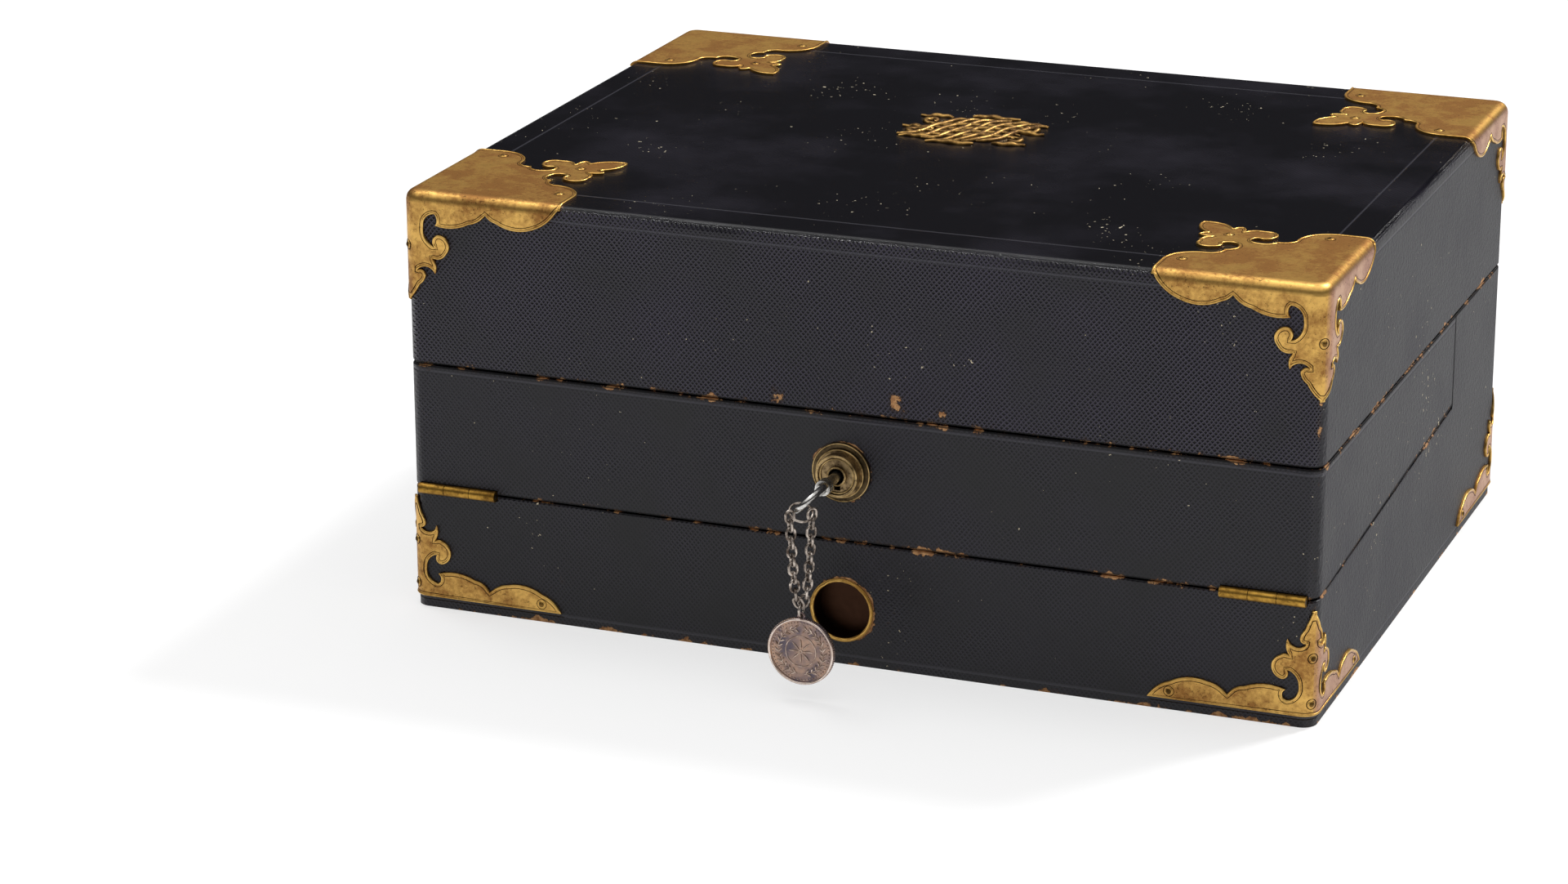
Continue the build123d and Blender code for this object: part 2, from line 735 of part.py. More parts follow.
def inkwell(side):
    """Glass, collar, cap, and cap pin of one inkwell; side is 1 on the right, -1 on the left."""
    x = side * (inner_x - ink_cell / 2)
    y = partition_back + loose + well_side / 2
    floor = bottom_board + riser_height
    shoulder = floor + well_height
    neck_top = shoulder + well_neck
    half = well_side / 2
    glass = block(x - half, x + half, y - half, y + half, floor, shoulder)
    glass = fillet(glass.edges().filter_by(Axis.Z), well_edge_radius)
    glass = glass + Pos(x, y, shoulder + well_neck / 2) * Cylinder(well_neck_radius, well_neck)
    depth = neck_top - floor - well_floor
    glass = glass - Pos(x, y, neck_top - depth / 2) * Cylinder(well_bore_radius, depth)
    cap_low = neck_top + knuckle_gap
    collar = Pos(x, y, neck_top - collar_height / 2) * Cylinder(cap_radius, collar_height)
    collar = collar - Pos(x, y, neck_top) * Cylinder(well_neck_radius, 4 * well_neck)
    cap = Pos(x, y, cap_low + cap_height / 2) * Cylinder(cap_radius, cap_height)
    cap = fillet(cap.faces().sort_by(Axis.Z)[-1].edges(), cap_edge_radius)
    cap = cap - Pos(x, y, cap_low + cap_recess / 2) * Cylinder(well_neck_radius, cap_recess)
    start = x - cap_barrel_length / 2
    outer, middle = knuckle_spans(start, cap_barrel_length)
    axis = (y + cap_radius + cap_barrel_radius, neck_top + knuckle_gap / 2)
    lug_front = y + cap_radius - lug_bite
    collar_lug = block(start, start + cap_barrel_length, lug_front, axis[0], neck_top - lug, neck_top)
    collar_lug = collar_lug - Pos(x, y, neck_top) * Cylinder(cap_radius, 4 * lug)
    cap_lug = block(start + lug, start + cap_barrel_length - lug, lug_front, axis[0], cap_low, cap_low + lug)
    held = (cap_barrel_radius, cap_pin_radius, *axis)
    running = (cap_barrel_radius, cap_pin_radius + pin_clearance, *axis)
    collar = hinge_leaf(collar + collar_lug, outer, middle, *held)
    cap = hinge_leaf(cap + cap_lug, middle, outer, *running)
    pin = rod_x(cap_pin_radius, start, start + cap_barrel_length, *axis)
    return glass, collar, cap, pin


nodes = {}

# Lid: boards, leather, lining
lid_wood = lid_form(skin)
lid_ceiling = box_height - rim
lid_cavity = block(-inner_x, inner_x, -inner_y, inner_y, lid_bottom - overrun, lid_ceiling)
above = block(-box_width, box_width, -box_depth, box_depth, lid_ceiling, box_height)
nodes["lid_top_board"] = lid_wood & above
lid_boards = boards(lid_wood - above - lid_cavity, inner_x, -inner_y, inner_y)
for name, board in zip(("front", "rear", "left", "right"), lid_boards):
    nodes["lid_" + name + "_board"] = board
lid_outer = soften_seam(lid_form(0), lambda y: lid_bottom)
nodes["lid_leather"] = lid_outer - lid_form(skin) - lid_cavity
lined_x, lined_y = inner_x - lining, inner_y - lining
lining_space = block(-lined_x, lined_x, -lined_y, lined_y, lid_bottom - overrun, lid_ceiling - lining)
lining_outer = block(-inner_x, inner_x, -inner_y, inner_y, lid_bottom + skin, lid_ceiling)
nodes["lid_lining"] = lining_outer - lining_space

# Folding section: boards and leather, open on its sloping side
section_wood = section_form(skin)
section_ceiling = body_top - rim
section_inner_back = section_back - rim
section_cavity = block(-inner_x, inner_x, -inner_y, section_inner_back, 0, section_ceiling)
over_section = block(-box_width, box_width, -box_depth, box_depth, section_ceiling, box_height)
nodes["section_top_board"] = section_wood & over_section
section_boards = boards(section_wood - over_section - section_cavity, inner_x, -inner_y, section_inner_back)
for name, board in zip(("front", "rear", "left", "right"), section_boards):
    nodes["section_" + name + "_board"] = board
section_outer = soften_seam(section_form(0), lambda y: body_top)
section_outer = soften_seam(section_outer, lambda y: slope_z(y) + fold_gap)
nodes["section_leather"] = section_outer - section_form(skin) - section_cavity

# Base: boards, partition at the cut, leather, open over the well and the rear compartment
base_wood = base_form(skin)
rear_cavity = block(-inner_x, inner_x, partition_back, inner_y, bottom_board, box_height)
under = block(-inner_x, inner_x, -inner_y, inner_y, 0, bottom_board)
nodes["base_bottom_board"] = under
ring = base_wood - under - block(-inner_x, inner_x, -inner_y, inner_y, bottom_board, box_height)
base_boards = boards(ring, inner_x, -inner_y, inner_y)
for name, board in zip(("front", "rear", "left", "right"), base_boards):
    nodes["base_" + name + "_board"] = board
nodes["base_partition"] = block(
    -inner_x, inner_x, block_front + skin, partition_back, bottom_board, body_top - skin,
)
base_outer = soften_seam(base_form(0), slope_z)
base_outer = soften_seam(base_outer, lambda y: body_top)
well_mouth = block(-inner_x, inner_x, -inner_y, block_front, -overrun, slope_height + overrun)
nodes["base_leather"] = base_outer - base_form(skin) - well_mouth - rear_cavity

# Writing flaps with their leather, and the ledges they lie on
flap_x = inner_x - loose
lower_span = (-inner_y + loose, block_front - loose)
upper_span = (-inner_y + loose, section_inner_back - loose)
stack = flap + writing_leather
nodes["lower_writing_leather"] = slope_slab(-flap_x, flap_x, *lower_span, -writing_leather, 0)
nodes["lower_writing_flap"] = slope_slab(-flap_x, flap_x, *lower_span, -stack, -writing_leather)
upper_face = fold_gap + writing_leather
nodes["upper_writing_leather"] = slope_slab(-flap_x, flap_x, *upper_span, fold_gap, upper_face)
nodes["upper_writing_flap"] = slope_slab(-flap_x, flap_x, *upper_span, upper_face, fold_gap + stack)


def ledges(y_front, y_back, low, high):
    """Four battens round a well, following the slope."""
    sides = both_sides(slope_slab(inner_x - ledge, inner_x, y_front, y_back, low, high))
    x = inner_x - ledge
    front = slope_slab(-x, x, y_front, y_front + ledge, low, high)
    back = slope_slab(-x, x, y_back - ledge, y_back, low, high)
    return sides + [front, back]


lower_high = -stack - close_fit
nodes["lower_flap_ledges"] = ledges(-inner_y, block_front + skin, lower_high - ledge, lower_high)
upper_low = fold_gap + stack + close_fit
nodes["upper_flap_ledges"] = ledges(-inner_y, section_inner_back, upper_low, upper_low + ledge)

# Rear compartment: dividers, risers, pen tray and inkwells
cell_x = inner_x - ink_cell
cross_y = partition_back + well_side + 2 * loose
dividers = both_sides(block(cell_x - divider, cell_x, partition_back, inner_y, bottom_board, divider_height))
cross = both_sides(block(cell_x, inner_x, cross_y, cross_y + divider / 2, bottom_board, divider_height))
nodes["compartment_dividers"] = dividers + cross
riser = block(
    cell_x + loose, inner_x - loose, partition_back + loose, cross_y - loose,
    bottom_board, bottom_board + riser_height,
)
nodes["inkwell_risers"] = both_sides(riser)
tray_x = cell_x - divider - loose
# The tray lifts out past the lid's lining, so its back stands in from the wall
tray_front, tray_back = partition_back + loose, lined_y - loose
tray = block(-tray_x, tray_x, tray_front, tray_back, tray_level, tray_level + tray_height)
groove_step = (tray_back - tray_front) / tray_grooves
for i in range(tray_grooves):
    groove_y = tray_front + groove_step * (i + 0.5)
    groove_z = tray_level + tray_height + tray_groove_rise
    tray = tray - rod_x(tray_groove_radius, -tray_x + tray_end, tray_x - tray_end, groove_y, groove_z)
nodes["pen_tray"] = tray
rest = block(tray_x + loose - ledge, tray_x + loose, partition_back, inner_y, tray_level - ledge, tray_level)
nodes["pen_tray_ledges"] = both_sides(rest)
cap_pins = []
for name, side in (("left", -1), ("right", 1)):
    glass, collar, cap, pin = inkwell(side)
    nodes[name + "_inkwell_glass"] = glass
    nodes[name + "_inkwell_collar"] = collar
    nodes[name + "_inkwell_cap"] = cap
    cap_pins.append(pin)
nodes["inkwell_cap_pins"] = cap_pins

# Brass corners and their nails
corner = lid_corner()
nodes["lid_corners"] = four_corners(corner)
edge_x, edge_y = half_width + plate, -half_depth - plate
lid_nail_places = [((edge_x - u, edge_y + v, box_height + plate), (0, 0, 1)) for u, v in lid_top_nails]
lid_nail_places.append((ridge_point(box_height + plate - ridge_nail_drop), (1, -1, 0)))
nodes["lid_corner_nails"], lid_holes = mirrored_nails(lid_nail_places)
nodes["base_corners"] = four_corners(base_corner())
u, v = base_side_nail
nail_z = base_plate_height + v
base_nail_places = [(ridge_point(z), (1, -1, 0)) for z in base_ridge_nails]
base_nail_places.append(((edge_x - u, edge_y, nail_z), (0, -1, 0)))
base_nail_places.append(((edge_x, edge_y + u, nail_z), (1, 0, 0)))
nodes["base_corner_nails"], base_holes = mirrored_nails(base_nail_places)

# Hinges, let into the rims
rear_starts = (-rear_hinge_span / 2 - rear_hinge_length / 2, rear_hinge_span / 2 - rear_hinge_length / 2)
rear_hinges = [rear_hinge(start) for start in rear_starts]
nodes["rear_hinge_lid_leaves"] = [hinge[0] for hinge in rear_hinges]
nodes["rear_hinge_base_leaves"] = [hinge[1] for hinge in rear_hinges]
nodes["rear_hinge_pins"] = [hinge[2] for hinge in rear_hinges]
front_starts = (-half_width + front_hinge_inset, half_width - front_hinge_inset - front_hinge_length)
front_hinges = [front_hinge(start) for start in front_starts]
nodes["front_hinge_section_leaves"] = [hinge[0] for hinge in front_hinges]
nodes["front_hinge_base_leaves"] = [hinge[1] for hinge in front_hinges]
nodes["front_hinge_pins"] = [hinge[2] for hinge in front_hinges]

lid_relief, base_relief, fold_relief = [], [], []
for start in rear_starts:
    low, high = start - loose, start + rear_hinge_length + loose
    barrel = rod_x(rear_barrel_radius + knuckle_relief, low, high, rear_axis_y, rear_axis_z)
    front, back = half_depth - leaf_width, half_depth + overrun
    lid_relief += [barrel, block(start, high - loose, front, back, lid_bottom - overrun, lid_bottom + leaf)]
    base_relief += [barrel, block(start, high - loose, front, back, body_top - leaf, body_top + overrun)]
for start in front_starts:
    low, high = start - loose, start + front_hinge_length + loose
    barrel = rod_x(front_barrel_radius + knuckle_relief, low, high, front_axis_y, front_axis_z)
    front, back = -half_depth - overrun, -half_depth + leaf_width
    fold_relief += [barrel, slope_slab(start, high - loose, front, back, fold_gap - overrun, fold_gap + leaf)]
    base_relief += [barrel, slope_slab(start, high - loose, front, back, -leaf, overrun)]

# Lock, link plate, key, chain and token
nodes["lock_escutcheon"] = make_escutcheon()
nodes["lock_case"] = make_lock_case()
pin_front = key_end - drill_pin_length
nodes["lock_drill_pin"] = rod_y(
    shank_bore_radius - pin_clearance, pin_front, case_back - case_sheet, lock_x, lock_z,
)
nodes["lock_bolt"] = make_lock_bolt()
nodes["link_plate"] = make_link_plate()
nodes["key"] = make_key()
nodes["chain_links"] = strand(-1) + strand(1)
nodes["chain_rings"] = make_rings()
nodes["token"] = make_token()
nodes["lid_ornament"] = make_ornament()

# Round brass recess that takes the lock when the section is folded out
face = -half_depth
cup_radius = recess_radius + recess_sheet
cup_back = face + recess_depth + recess_floor
cup = rod_y(cup_radius, face, cup_back, lock_x, recess_z)
cup = cup + rod_y(recess_rim_radius, face - recess_rim, face, lock_x, recess_z)
nodes["recess_cup"] = cup - rod_y(recess_radius, face - overrun, face + recess_depth, lock_x, recess_z)

# Holes and seats cut where the fittings go
case_seat = case_block(body_top + overrun)
spigot = rod_y(spigot_radius, face - overrun, case_front, lock_x, lock_z)
link_seat = link_block(lid_bottom - overrun)
cup_seat = rod_y(cup_radius, face - overrun, cup_back, lock_x, recess_z)
nodes["lid_leather"] = nodes["lid_leather"] - lid_relief - link_seat - lid_holes
nodes["lid_top_board"] = nodes["lid_top_board"] - lid_holes
for name in ("lid_front_board", "lid_rear_board", "lid_left_board", "lid_right_board"):
    nodes[name] = nodes[name] - lid_holes - lid_relief - link_seat
nodes["section_leather"] = nodes["section_leather"] - fold_relief - case_seat - spigot
nodes["section_front_board"] = nodes["section_front_board"] - fold_relief - case_seat - spigot
nodes["section_top_board"] = nodes["section_top_board"] - case_seat
nodes["base_leather"] = nodes["base_leather"] - base_relief - cup_seat - base_holes
nodes["base_front_board"] = nodes["base_front_board"] - base_relief - cup_seat - base_holes
for name in ("base_rear_board", "base_left_board", "base_right_board"):
    nodes[name] = nodes[name] - base_holes - base_relief
nodes["lid_corners"] = [piece - lid_holes for piece in nodes["lid_corners"]]
nodes["base_corners"] = [piece - base_holes for piece in nodes["base_corners"]]

os.makedirs("parts", exist_ok=True)
for name, shape in nodes.items():
    pieces = shape if isinstance(shape, list) else [shape]
    solids = [solid for piece in pieces for solid in piece.solids()]
    export_step(solids[0] if len(solids) == 1 else Compound(solids), "parts/" + name + ".step")
    print(name, len(solids))
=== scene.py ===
"""Looks of a travelling writing box: worn black leather, gilt brass corners, a box lock with its key,
a silver chain and token, and a fitted interior, on a pale floor under soft light."""
import logging
import math
from dataclasses import dataclass
from enum import Enum

import bmesh
import bpy
from mathutils import Matrix, Vector, kdtree, noise


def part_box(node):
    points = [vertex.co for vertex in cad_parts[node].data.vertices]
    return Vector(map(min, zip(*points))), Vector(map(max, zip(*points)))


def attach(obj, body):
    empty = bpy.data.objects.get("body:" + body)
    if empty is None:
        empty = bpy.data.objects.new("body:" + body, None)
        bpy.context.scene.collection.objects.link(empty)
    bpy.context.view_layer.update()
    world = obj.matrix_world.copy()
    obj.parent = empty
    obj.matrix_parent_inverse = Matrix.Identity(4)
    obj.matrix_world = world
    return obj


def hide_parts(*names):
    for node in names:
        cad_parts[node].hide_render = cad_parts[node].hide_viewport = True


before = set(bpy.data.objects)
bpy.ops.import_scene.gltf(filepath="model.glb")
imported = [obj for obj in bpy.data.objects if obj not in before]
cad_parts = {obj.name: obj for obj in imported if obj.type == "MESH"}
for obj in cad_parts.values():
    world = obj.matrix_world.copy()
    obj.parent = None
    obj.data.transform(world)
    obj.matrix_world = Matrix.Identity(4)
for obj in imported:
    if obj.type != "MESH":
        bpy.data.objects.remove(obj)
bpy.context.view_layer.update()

MM = 0.001

Colour = tuple[float, float, float, float]
Line = list[Vector]
Plan = list[tuple[float, float]]
Spot = tuple[float, float, float]
Outline = list[tuple[Vector, Vector, Vector]]
Node, Tree, Socket = bpy.types.Node, bpy.types.NodeTree, bpy.types.NodeSocket
Material, Mesh = bpy.types.Material, bpy.types.Mesh
# A material with its tree and its shader, and the three coordinates of a point
Blank = tuple[Material, Tree, Node]
Parts = tuple[Socket, Socket, Socket]

log = logging.getLogger("writing_box")


def tint(code: str) -> Colour:
    """Turn an sRGB hex colour into linear values.

    Args:
        code: Colour such as "#c08a55".

    Returns:
        Red, green, blue and alpha, linear.
    """
    channels = [int(code[i:i + 2], 16) / 255 for i in (1, 3, 5)]
    linear = [c / 12.92 if c <= 0.04045 else ((c + 0.055) / 1.055) ** 2.4 for c in channels]
    return (linear[0], linear[1], linear[2], 1.0)


def per_mm(size: float) -> float:
    """Texture scale at which one feature is size millimetres wide."""
    return 1 / (size * MM)


def feed(node: Node, inputs: dict[int | str, object]) -> None:
    """Give a node's inputs what they take.

    Args:
        node: The node.
        inputs: By number or name, another node, a socket or a plain value.
    """
    for key, source in inputs.items():
        if isinstance(source, Node):
            source = source.outputs[0]
        if isinstance(source, Socket):
            node.id_data.links.new(source, node.inputs[key])
        else:
            node.inputs[key].default_value = source


def add(tree: Tree, kind: str, *inputs: object, **named: object) -> Node:
    """Add one shader node with its settings and its inputs.

    Args:
        tree: Material's node tree.
        kind: Node's type, without the ShaderNode in front.
        inputs: What its first inputs take, in order.
        named: The node's own options, and more inputs by names that start with a capital.

    Returns:
        The new node.
    """
    node = tree.nodes.new("ShaderNode" + kind)
    for key, value in named.items():
        if key.islower():
            setattr(node, key, value)
    feed(node, dict(enumerate(inputs)) | {key: value for key, value in named.items() if not key.islower()})
    return node


def blank_material(name: str, **fixed: object) -> Blank:
    """Start a material.

    Args:
        name: Material's name.
        fixed: Values of the shader's own sockets, with _ for a space in their names.

    Returns:
        The material, its node tree and its shader.
    """
    material = bpy.data.materials.new(name)
    material.use_nodes = True
    shader = material.node_tree.nodes["Principled BSDF"]
    feed(shader, {key.replace("_", " "): value for key, value in fixed.items()})
    return material, material.node_tree, shader


class Face(Enum):
    """Ways that the face of the leather was worked."""

    CROSS_GRAIN = "diamond grain pressed into the leather's front"
    SMOOTH = "plain glazed leather"


@dataclass(frozen=True)
class Seam:
    """A line along which the leather has rubbed, from one depth and height to another, in metres.

    Where it is parted, two parts of the case meet, and a narrow band of painted shade darkens the leather
    along it.
    """

    start_y: float
    start_z: float
    end_y: float
    end_z: float
    parted: bool = True


@dataclass(frozen=True)
class Leather:
    """Goatskin, dyed black and glazed, cross-grained with a plate on the front faces.

    Places are in metres, and its own sizes in millimetres.
    """

    name: str
    seams: tuple[Seam, ...]
    tooled_height: float
    face: Face = Face.CROSS_GRAIN
    spots: tuple[Spot, ...] = ()
    spot_wear: float = 1.0
    spot_fade: float = 1.8
    dye: str = "#0c0b10"
    painted_shade: str = "#030304"
    tooled_line_highlight: str = "#4b4a52"
    browned: str = "#2c1d18"
    ridge_highlight_and_haze: str = "#3a3644"
    sideways_painted_light: str = "#1b1920"
    bare: str = "#d6a470"
    bare_dark: str = "#9c6c44"
    fleck: str = "#c9bda2"
    grain_pitch: float = 1.25
    grain_angle: float = 42.0
    grain_waver: float = 9.0
    grain_patch: float = 26.0
    pebble_size: float = 1.5
    pore_size: float = 0.8
    haze_size: float = 55.0
    mottle_size: float = 1.6
    fleck_size: float = 1.9
    fleck_patch: float = 34.0
    rub_reach: float = 3.2
    corner_reach: float = 3.0
    face_reach: float = 4.0
    chip_size: float = 6.5
    chip_patch: float = 42.0
    chip_from: float = 1.045
    brown_from: float = 0.95
    seam_shade: float = 0.45
    seam_shade_fade: float = 0.4
    seam_shade_strength: float = 0.9
    clean_gloss: float = 0.36
    hazed_gloss: float = 0.44
    top_polish: float = -0.12
    side_dulling: float = 0.16
    bare_dulling: float = 0.4
    seam_shade_dulling: float = 0.7
    handling: float = -0.2
    frame_x: float = 12.5
    frame_y: float = 16.5

    def material(self, width: float, depth: float) -> Material:
        """Build the leather: near black, softly glossy, paler where its grain and dye have rubbed, with
        painted highlight on its grain's ridges, tooled lines and sideways faces, and painted shade in its
        grain's hollows and along its seams.

        Args:
            width: Half the box's width over the leather, in metres.
            depth: Half the box's depth over the leather, in metres.

        Returns:
            The material, which works in the box's own coordinates.
        """
        # Glazed hide is a little glossy on top, with blurred white from the floor on its sides
        material, tree, shader = blank_material(self.name, IOR=1.4)
        place = add(tree, "TexCoord")
        at = place.outputs["Object"]
        x, y, z = add(tree, "SeparateXYZ", at).outputs
        nx, ny, nz = add(tree, "SeparateXYZ", place.outputs["Normal"]).outputs
        tilts = [add(tree, "Math", n, operation="ABSOLUTE") for n in (nx, ny, nz)]
        side, front, up = (add(tree, "MapRange", tilt, 0.6, 0.9) for tilt in tilts)
        level = add(tree, "Math", 1.0, up, operation="SUBTRACT")
        along = add(tree, "Math", y, level, x, operation="MULTIPLY_ADD")
        across = add(tree, "Math", y, up, z, operation="MULTIPLY_ADD")
        # The pressed grain is nearer 0.7 mm, drawn coarser so that it shows
        waver = add(tree, "TexNoise", Vector=at, Scale=per_mm(self.grain_waver), Detail=2.0)
        angle = math.radians(self.grain_angle)
        turn = 2 * math.pi * per_mm(self.grain_pitch)
        ridges = []
        for lean in (1, -1):
            phase = add(tree, "Math", along, turn * math.cos(angle), operation="MULTIPLY")
            phase = add(tree, "Math", across, lean * turn * math.sin(angle), phase,
                        operation="MULTIPLY_ADD")
            phase = add(tree, "Math", waver, 9.0, phase, operation="MULTIPLY_ADD")
            ridges.append(add(tree, "Math", phase, operation="SINE"))
        weave = add(tree, "Math", *ridges, operation="MAXIMUM")
        worn_grain = add(tree, "TexNoise", Vector=at, Scale=per_mm(self.grain_patch), Detail=3.0)
        strength = add(tree, "MapRange", worn_grain, 0.3, 0.7, 0.35, 1.0)
        on_front = 1.0 if self.face is Face.CROSS_GRAIN else 0.35
        shown = add(tree, "Math", front, on_front, 0.12, operation="MULTIPLY_ADD")
        shown = add(tree, "Math", shown, strength, operation="MULTIPLY")
        weave = add(tree, "Math", weave, shown, operation="MULTIPLY")
        pebble = add(tree, "TexVoronoi", Vector=at, Scale=per_mm(self.pebble_size), feature="SMOOTH_F1")
        pores = add(tree, "TexNoise", Vector=at, Scale=per_mm(self.pore_size), Detail=4.0)
        pebble = add(tree, "Math", pebble, pores, operation="ADD")
        rough_side = add(tree, "Math", side, 1.8, 0.16, operation="MULTIPLY_ADD")
        pebble = add(tree, "Math", pebble, rough_side, operation="MULTIPLY")
        height = add(tree, "Math", weave, pebble, operation="ADD")

        tooled = self._tooling(tree, (x, y, z), up, width, depth)
        height = add(tree, "Math", tooled, -3.0, height, operation="MULTIPLY_ADD")
        chip, edge = self._rubbing(tree, at, (x, y, z), width, depth)
        height = add(tree, "Math", chip, -2.2, height, operation="MULTIPLY_ADD")
        seam_shade = self._seam_shades(tree, (x, y, z), level)
        bump = add(tree, "Bump", Strength=0.8, Distance=0.2 * MM, Height=height)

        # Painted highlight on the grain's ridges and painted shade in its hollows; the haze is a random
        # paler tone in the ridges' colour
        lit_ridges = add(tree, "MapRange", weave, 0.1, 0.9)
        shaded_hollows = add(tree, "MapRange", weave, 0.0, -0.5)
        haze = add(tree, "TexNoise", Vector=at, Scale=per_mm(self.haze_size), Detail=4.0, Roughness=0.6)
        haze = add(tree, "MapRange", haze, 0.45, 0.75, 0.0, 0.2)
        # Painted highlight: the tooled lines are made paler in colour as well as sunk
        lit_lines = add(tree, "Math", tooled, 0.5, operation="MULTIPLY")
        # Painted light: faces that look sideways get a paler colour than the front and top
        dye = add(tree, "MixRGB", side, tint(self.dye), tint(self.sideways_painted_light))
        # Over the dye go painted highlight and painted shade, the random haze and the browned edges
        for share, shade in ((lit_ridges, self.ridge_highlight_and_haze), (shaded_hollows, self.painted_shade), (haze, self.ridge_highlight_and_haze),
                             (lit_lines, self.tooled_line_highlight), (edge, self.browned)):
            dye = add(tree, "MixRGB", share, dye, tint(shade))
        mottle = add(tree, "TexNoise", Vector=at, Scale=per_mm(self.mottle_size), Detail=3.0)
        mottle = add(tree, "MapRange", mottle, 0.35, 0.65)
        bare = add(tree, "MixRGB", mottle, tint(self.bare_dark), tint(self.bare))
        colour = add(tree, "MixRGB", chip, dye, bare)
        # Painted shade darkens a narrow band along each parted seam
        colour = add(tree, "MixRGB", seam_shade, colour, tint(self.painted_shade))
        speck = add(tree, "TexNoise", Vector=at, Scale=per_mm(self.fleck_size), Detail=3.0,
                    Roughness=0.6)
        gathered = add(tree, "TexNoise", Vector=at, Scale=per_mm(self.fleck_patch), Detail=1.0)
        speck = add(tree, "Math", gathered, 0.32, speck, operation="MULTIPLY_ADD")
        speck = add(tree, "MapRange", speck, 0.9, 0.915)
        colour = add(tree, "MixRGB", speck, colour, tint(self.fleck))

        gloss = add(tree, "MapRange", haze, 0.0, 0.2, self.clean_gloss, self.hazed_gloss)
        gloss = add(tree, "Math", up, self.top_polish, gloss, operation="MULTIPLY_ADD")
        gloss = add(tree, "Math", side, self.side_dulling, gloss, operation="MULTIPLY_ADD")
        flat = add(tree, "Math", tilts[1], nz, operation="MAXIMUM")
        flat = add(tree, "Math", tilts[0], flat, operation="MAXIMUM")
        # Handling has polished the rounded edges
        handled = add(tree, "MapRange", flat, 0.98, 0.9, 0.0, self.handling)
        gloss = add(tree, "Math", gloss, handled, operation="ADD")
        worn = add(tree, "Math", chip, speck, operation="MAXIMUM")
        gloss = add(tree, "Math", worn, self.bare_dulling, gloss, operation="MULTIPLY_ADD")
        gloss = add(tree, "Math", seam_shade, self.seam_shade_dulling, gloss, operation="MULTIPLY_ADD")
        feed(shader, {"Base Color": colour, "Roughness": gloss, "Normal": bump})
        return material

    def _tooling(self, tree: Tree, parts: Parts, up: Node, width: float,
                 depth: float) -> Node:
        """Blind-tooled lines: a frame on the top face and one line round the sides.

        Args:
            tree: Material's node tree.
            parts: The point's three coordinates.
            up: How far the surface faces up.
            width: Half the box's width, in metres.
            depth: Half the box's depth, in metres.

        Returns:
            A node that is 1 on the lines.
        """
        x, y, z = parts
        over = []
        for place, line in ((x, width - self.frame_x * MM), (y, depth - self.frame_y * MM)):
            reach = add(tree, "Math", place, operation="ABSOLUTE")
            over.append(add(tree, "Math", reach, line, operation="SUBTRACT"))
        off_top = add(tree, "Math", *over, operation="MAXIMUM")
        off_top = add(tree, "Math", off_top, operation="ABSOLUTE")
        off_side = add(tree, "Math", z, self.tooled_height, operation="SUBTRACT")
        off_side = add(tree, "Math", off_side, operation="ABSOLUTE")
        off = add(tree, "Mix", Factor=up, A=off_side, B=off_top)
        return add(tree, "MapRange", off, 0.25 * MM, 0.6 * MM, 1.0, 0.0)

    @staticmethod
    def _off_seam(tree: Tree, parts: Parts,
                  seam: Seam) -> tuple[Node, Node]:
        """Distance from a seam.

        Args:
            tree: Material's node tree.
            parts: The point's three coordinates.
            seam: The seam, sloping or upright.

        Returns:
            A node with the distance in metres, and one that is 1 beside the seam and 0 past its ends.
        """
        _, y, z = parts
        if seam.start_y == seam.end_y:
            off, run, first, last = y, z, seam.start_z, seam.end_z
            line = seam.start_y
        else:
            off, run, first, last = z, y, seam.start_y, seam.end_y
            line = add(tree, "MapRange", y, first, last, seam.start_z, seam.end_z)
        off = add(tree, "Math", off, line, operation="SUBTRACT")
        off = add(tree, "Math", off, operation="ABSOLUTE")
        after = add(tree, "Math", run, first - MM, operation="GREATER_THAN")
        before = add(tree, "Math", run, last + MM, operation="LESS_THAN")
        return off, add(tree, "Math", after, before, operation="MULTIPLY")

    def _seam_shades(self, tree: Tree, parts: Parts, level: Node) -> Node:
        """Painted shade: dark bands where the leather turns in at the seams.

        Args:
            tree: Material's node tree.
            parts: The point's three coordinates.
            level: How upright the surface is.

        Returns:
            A node that is highest in the painted shade beside a seam.
        """
        dark: Node | float = 0.0
        for seam in self.seams:
            if not seam.parted:
                continue
            off, within = self._off_seam(tree, parts, seam)
            near = add(tree, "MapRange", off, self.seam_shade * MM, (self.seam_shade + self.seam_shade_fade) * MM,
                       self.seam_shade_strength, 0.0)
            near = add(tree, "Math", near, within, operation="MULTIPLY")
            dark = add(tree, "Math", dark, near, operation="MAXIMUM")
        return add(tree, "Math", dark, level, operation="MULTIPLY")

    def _rubbing(self, tree: Tree, at: Socket, parts: Parts, width: float,
                 depth: float) -> tuple[Node, Node]:
        """Places where the dyed surface has rubbed through along seams and corners.

        Args:
            tree: Material's node tree.
            at: The point.
            parts: Its three coordinates.
            width: Half the box's width, in metres.
            depth: Half the box's depth, in metres.

        Returns:
            A node that is 1 on bare leather, and one that is above 0 on browned edges.
        """
        x, y, z = parts
        sides = [(add(tree, "Math", place, operation="ABSOLUTE"), half)
                 for place, half in ((x, width), (y, depth))]
        near = [add(tree, "MapRange", reach, half - self.corner_reach * MM, half - MM)
                for reach, half in sides]
        close = add(tree, "Math", *near, operation="MULTIPLY")
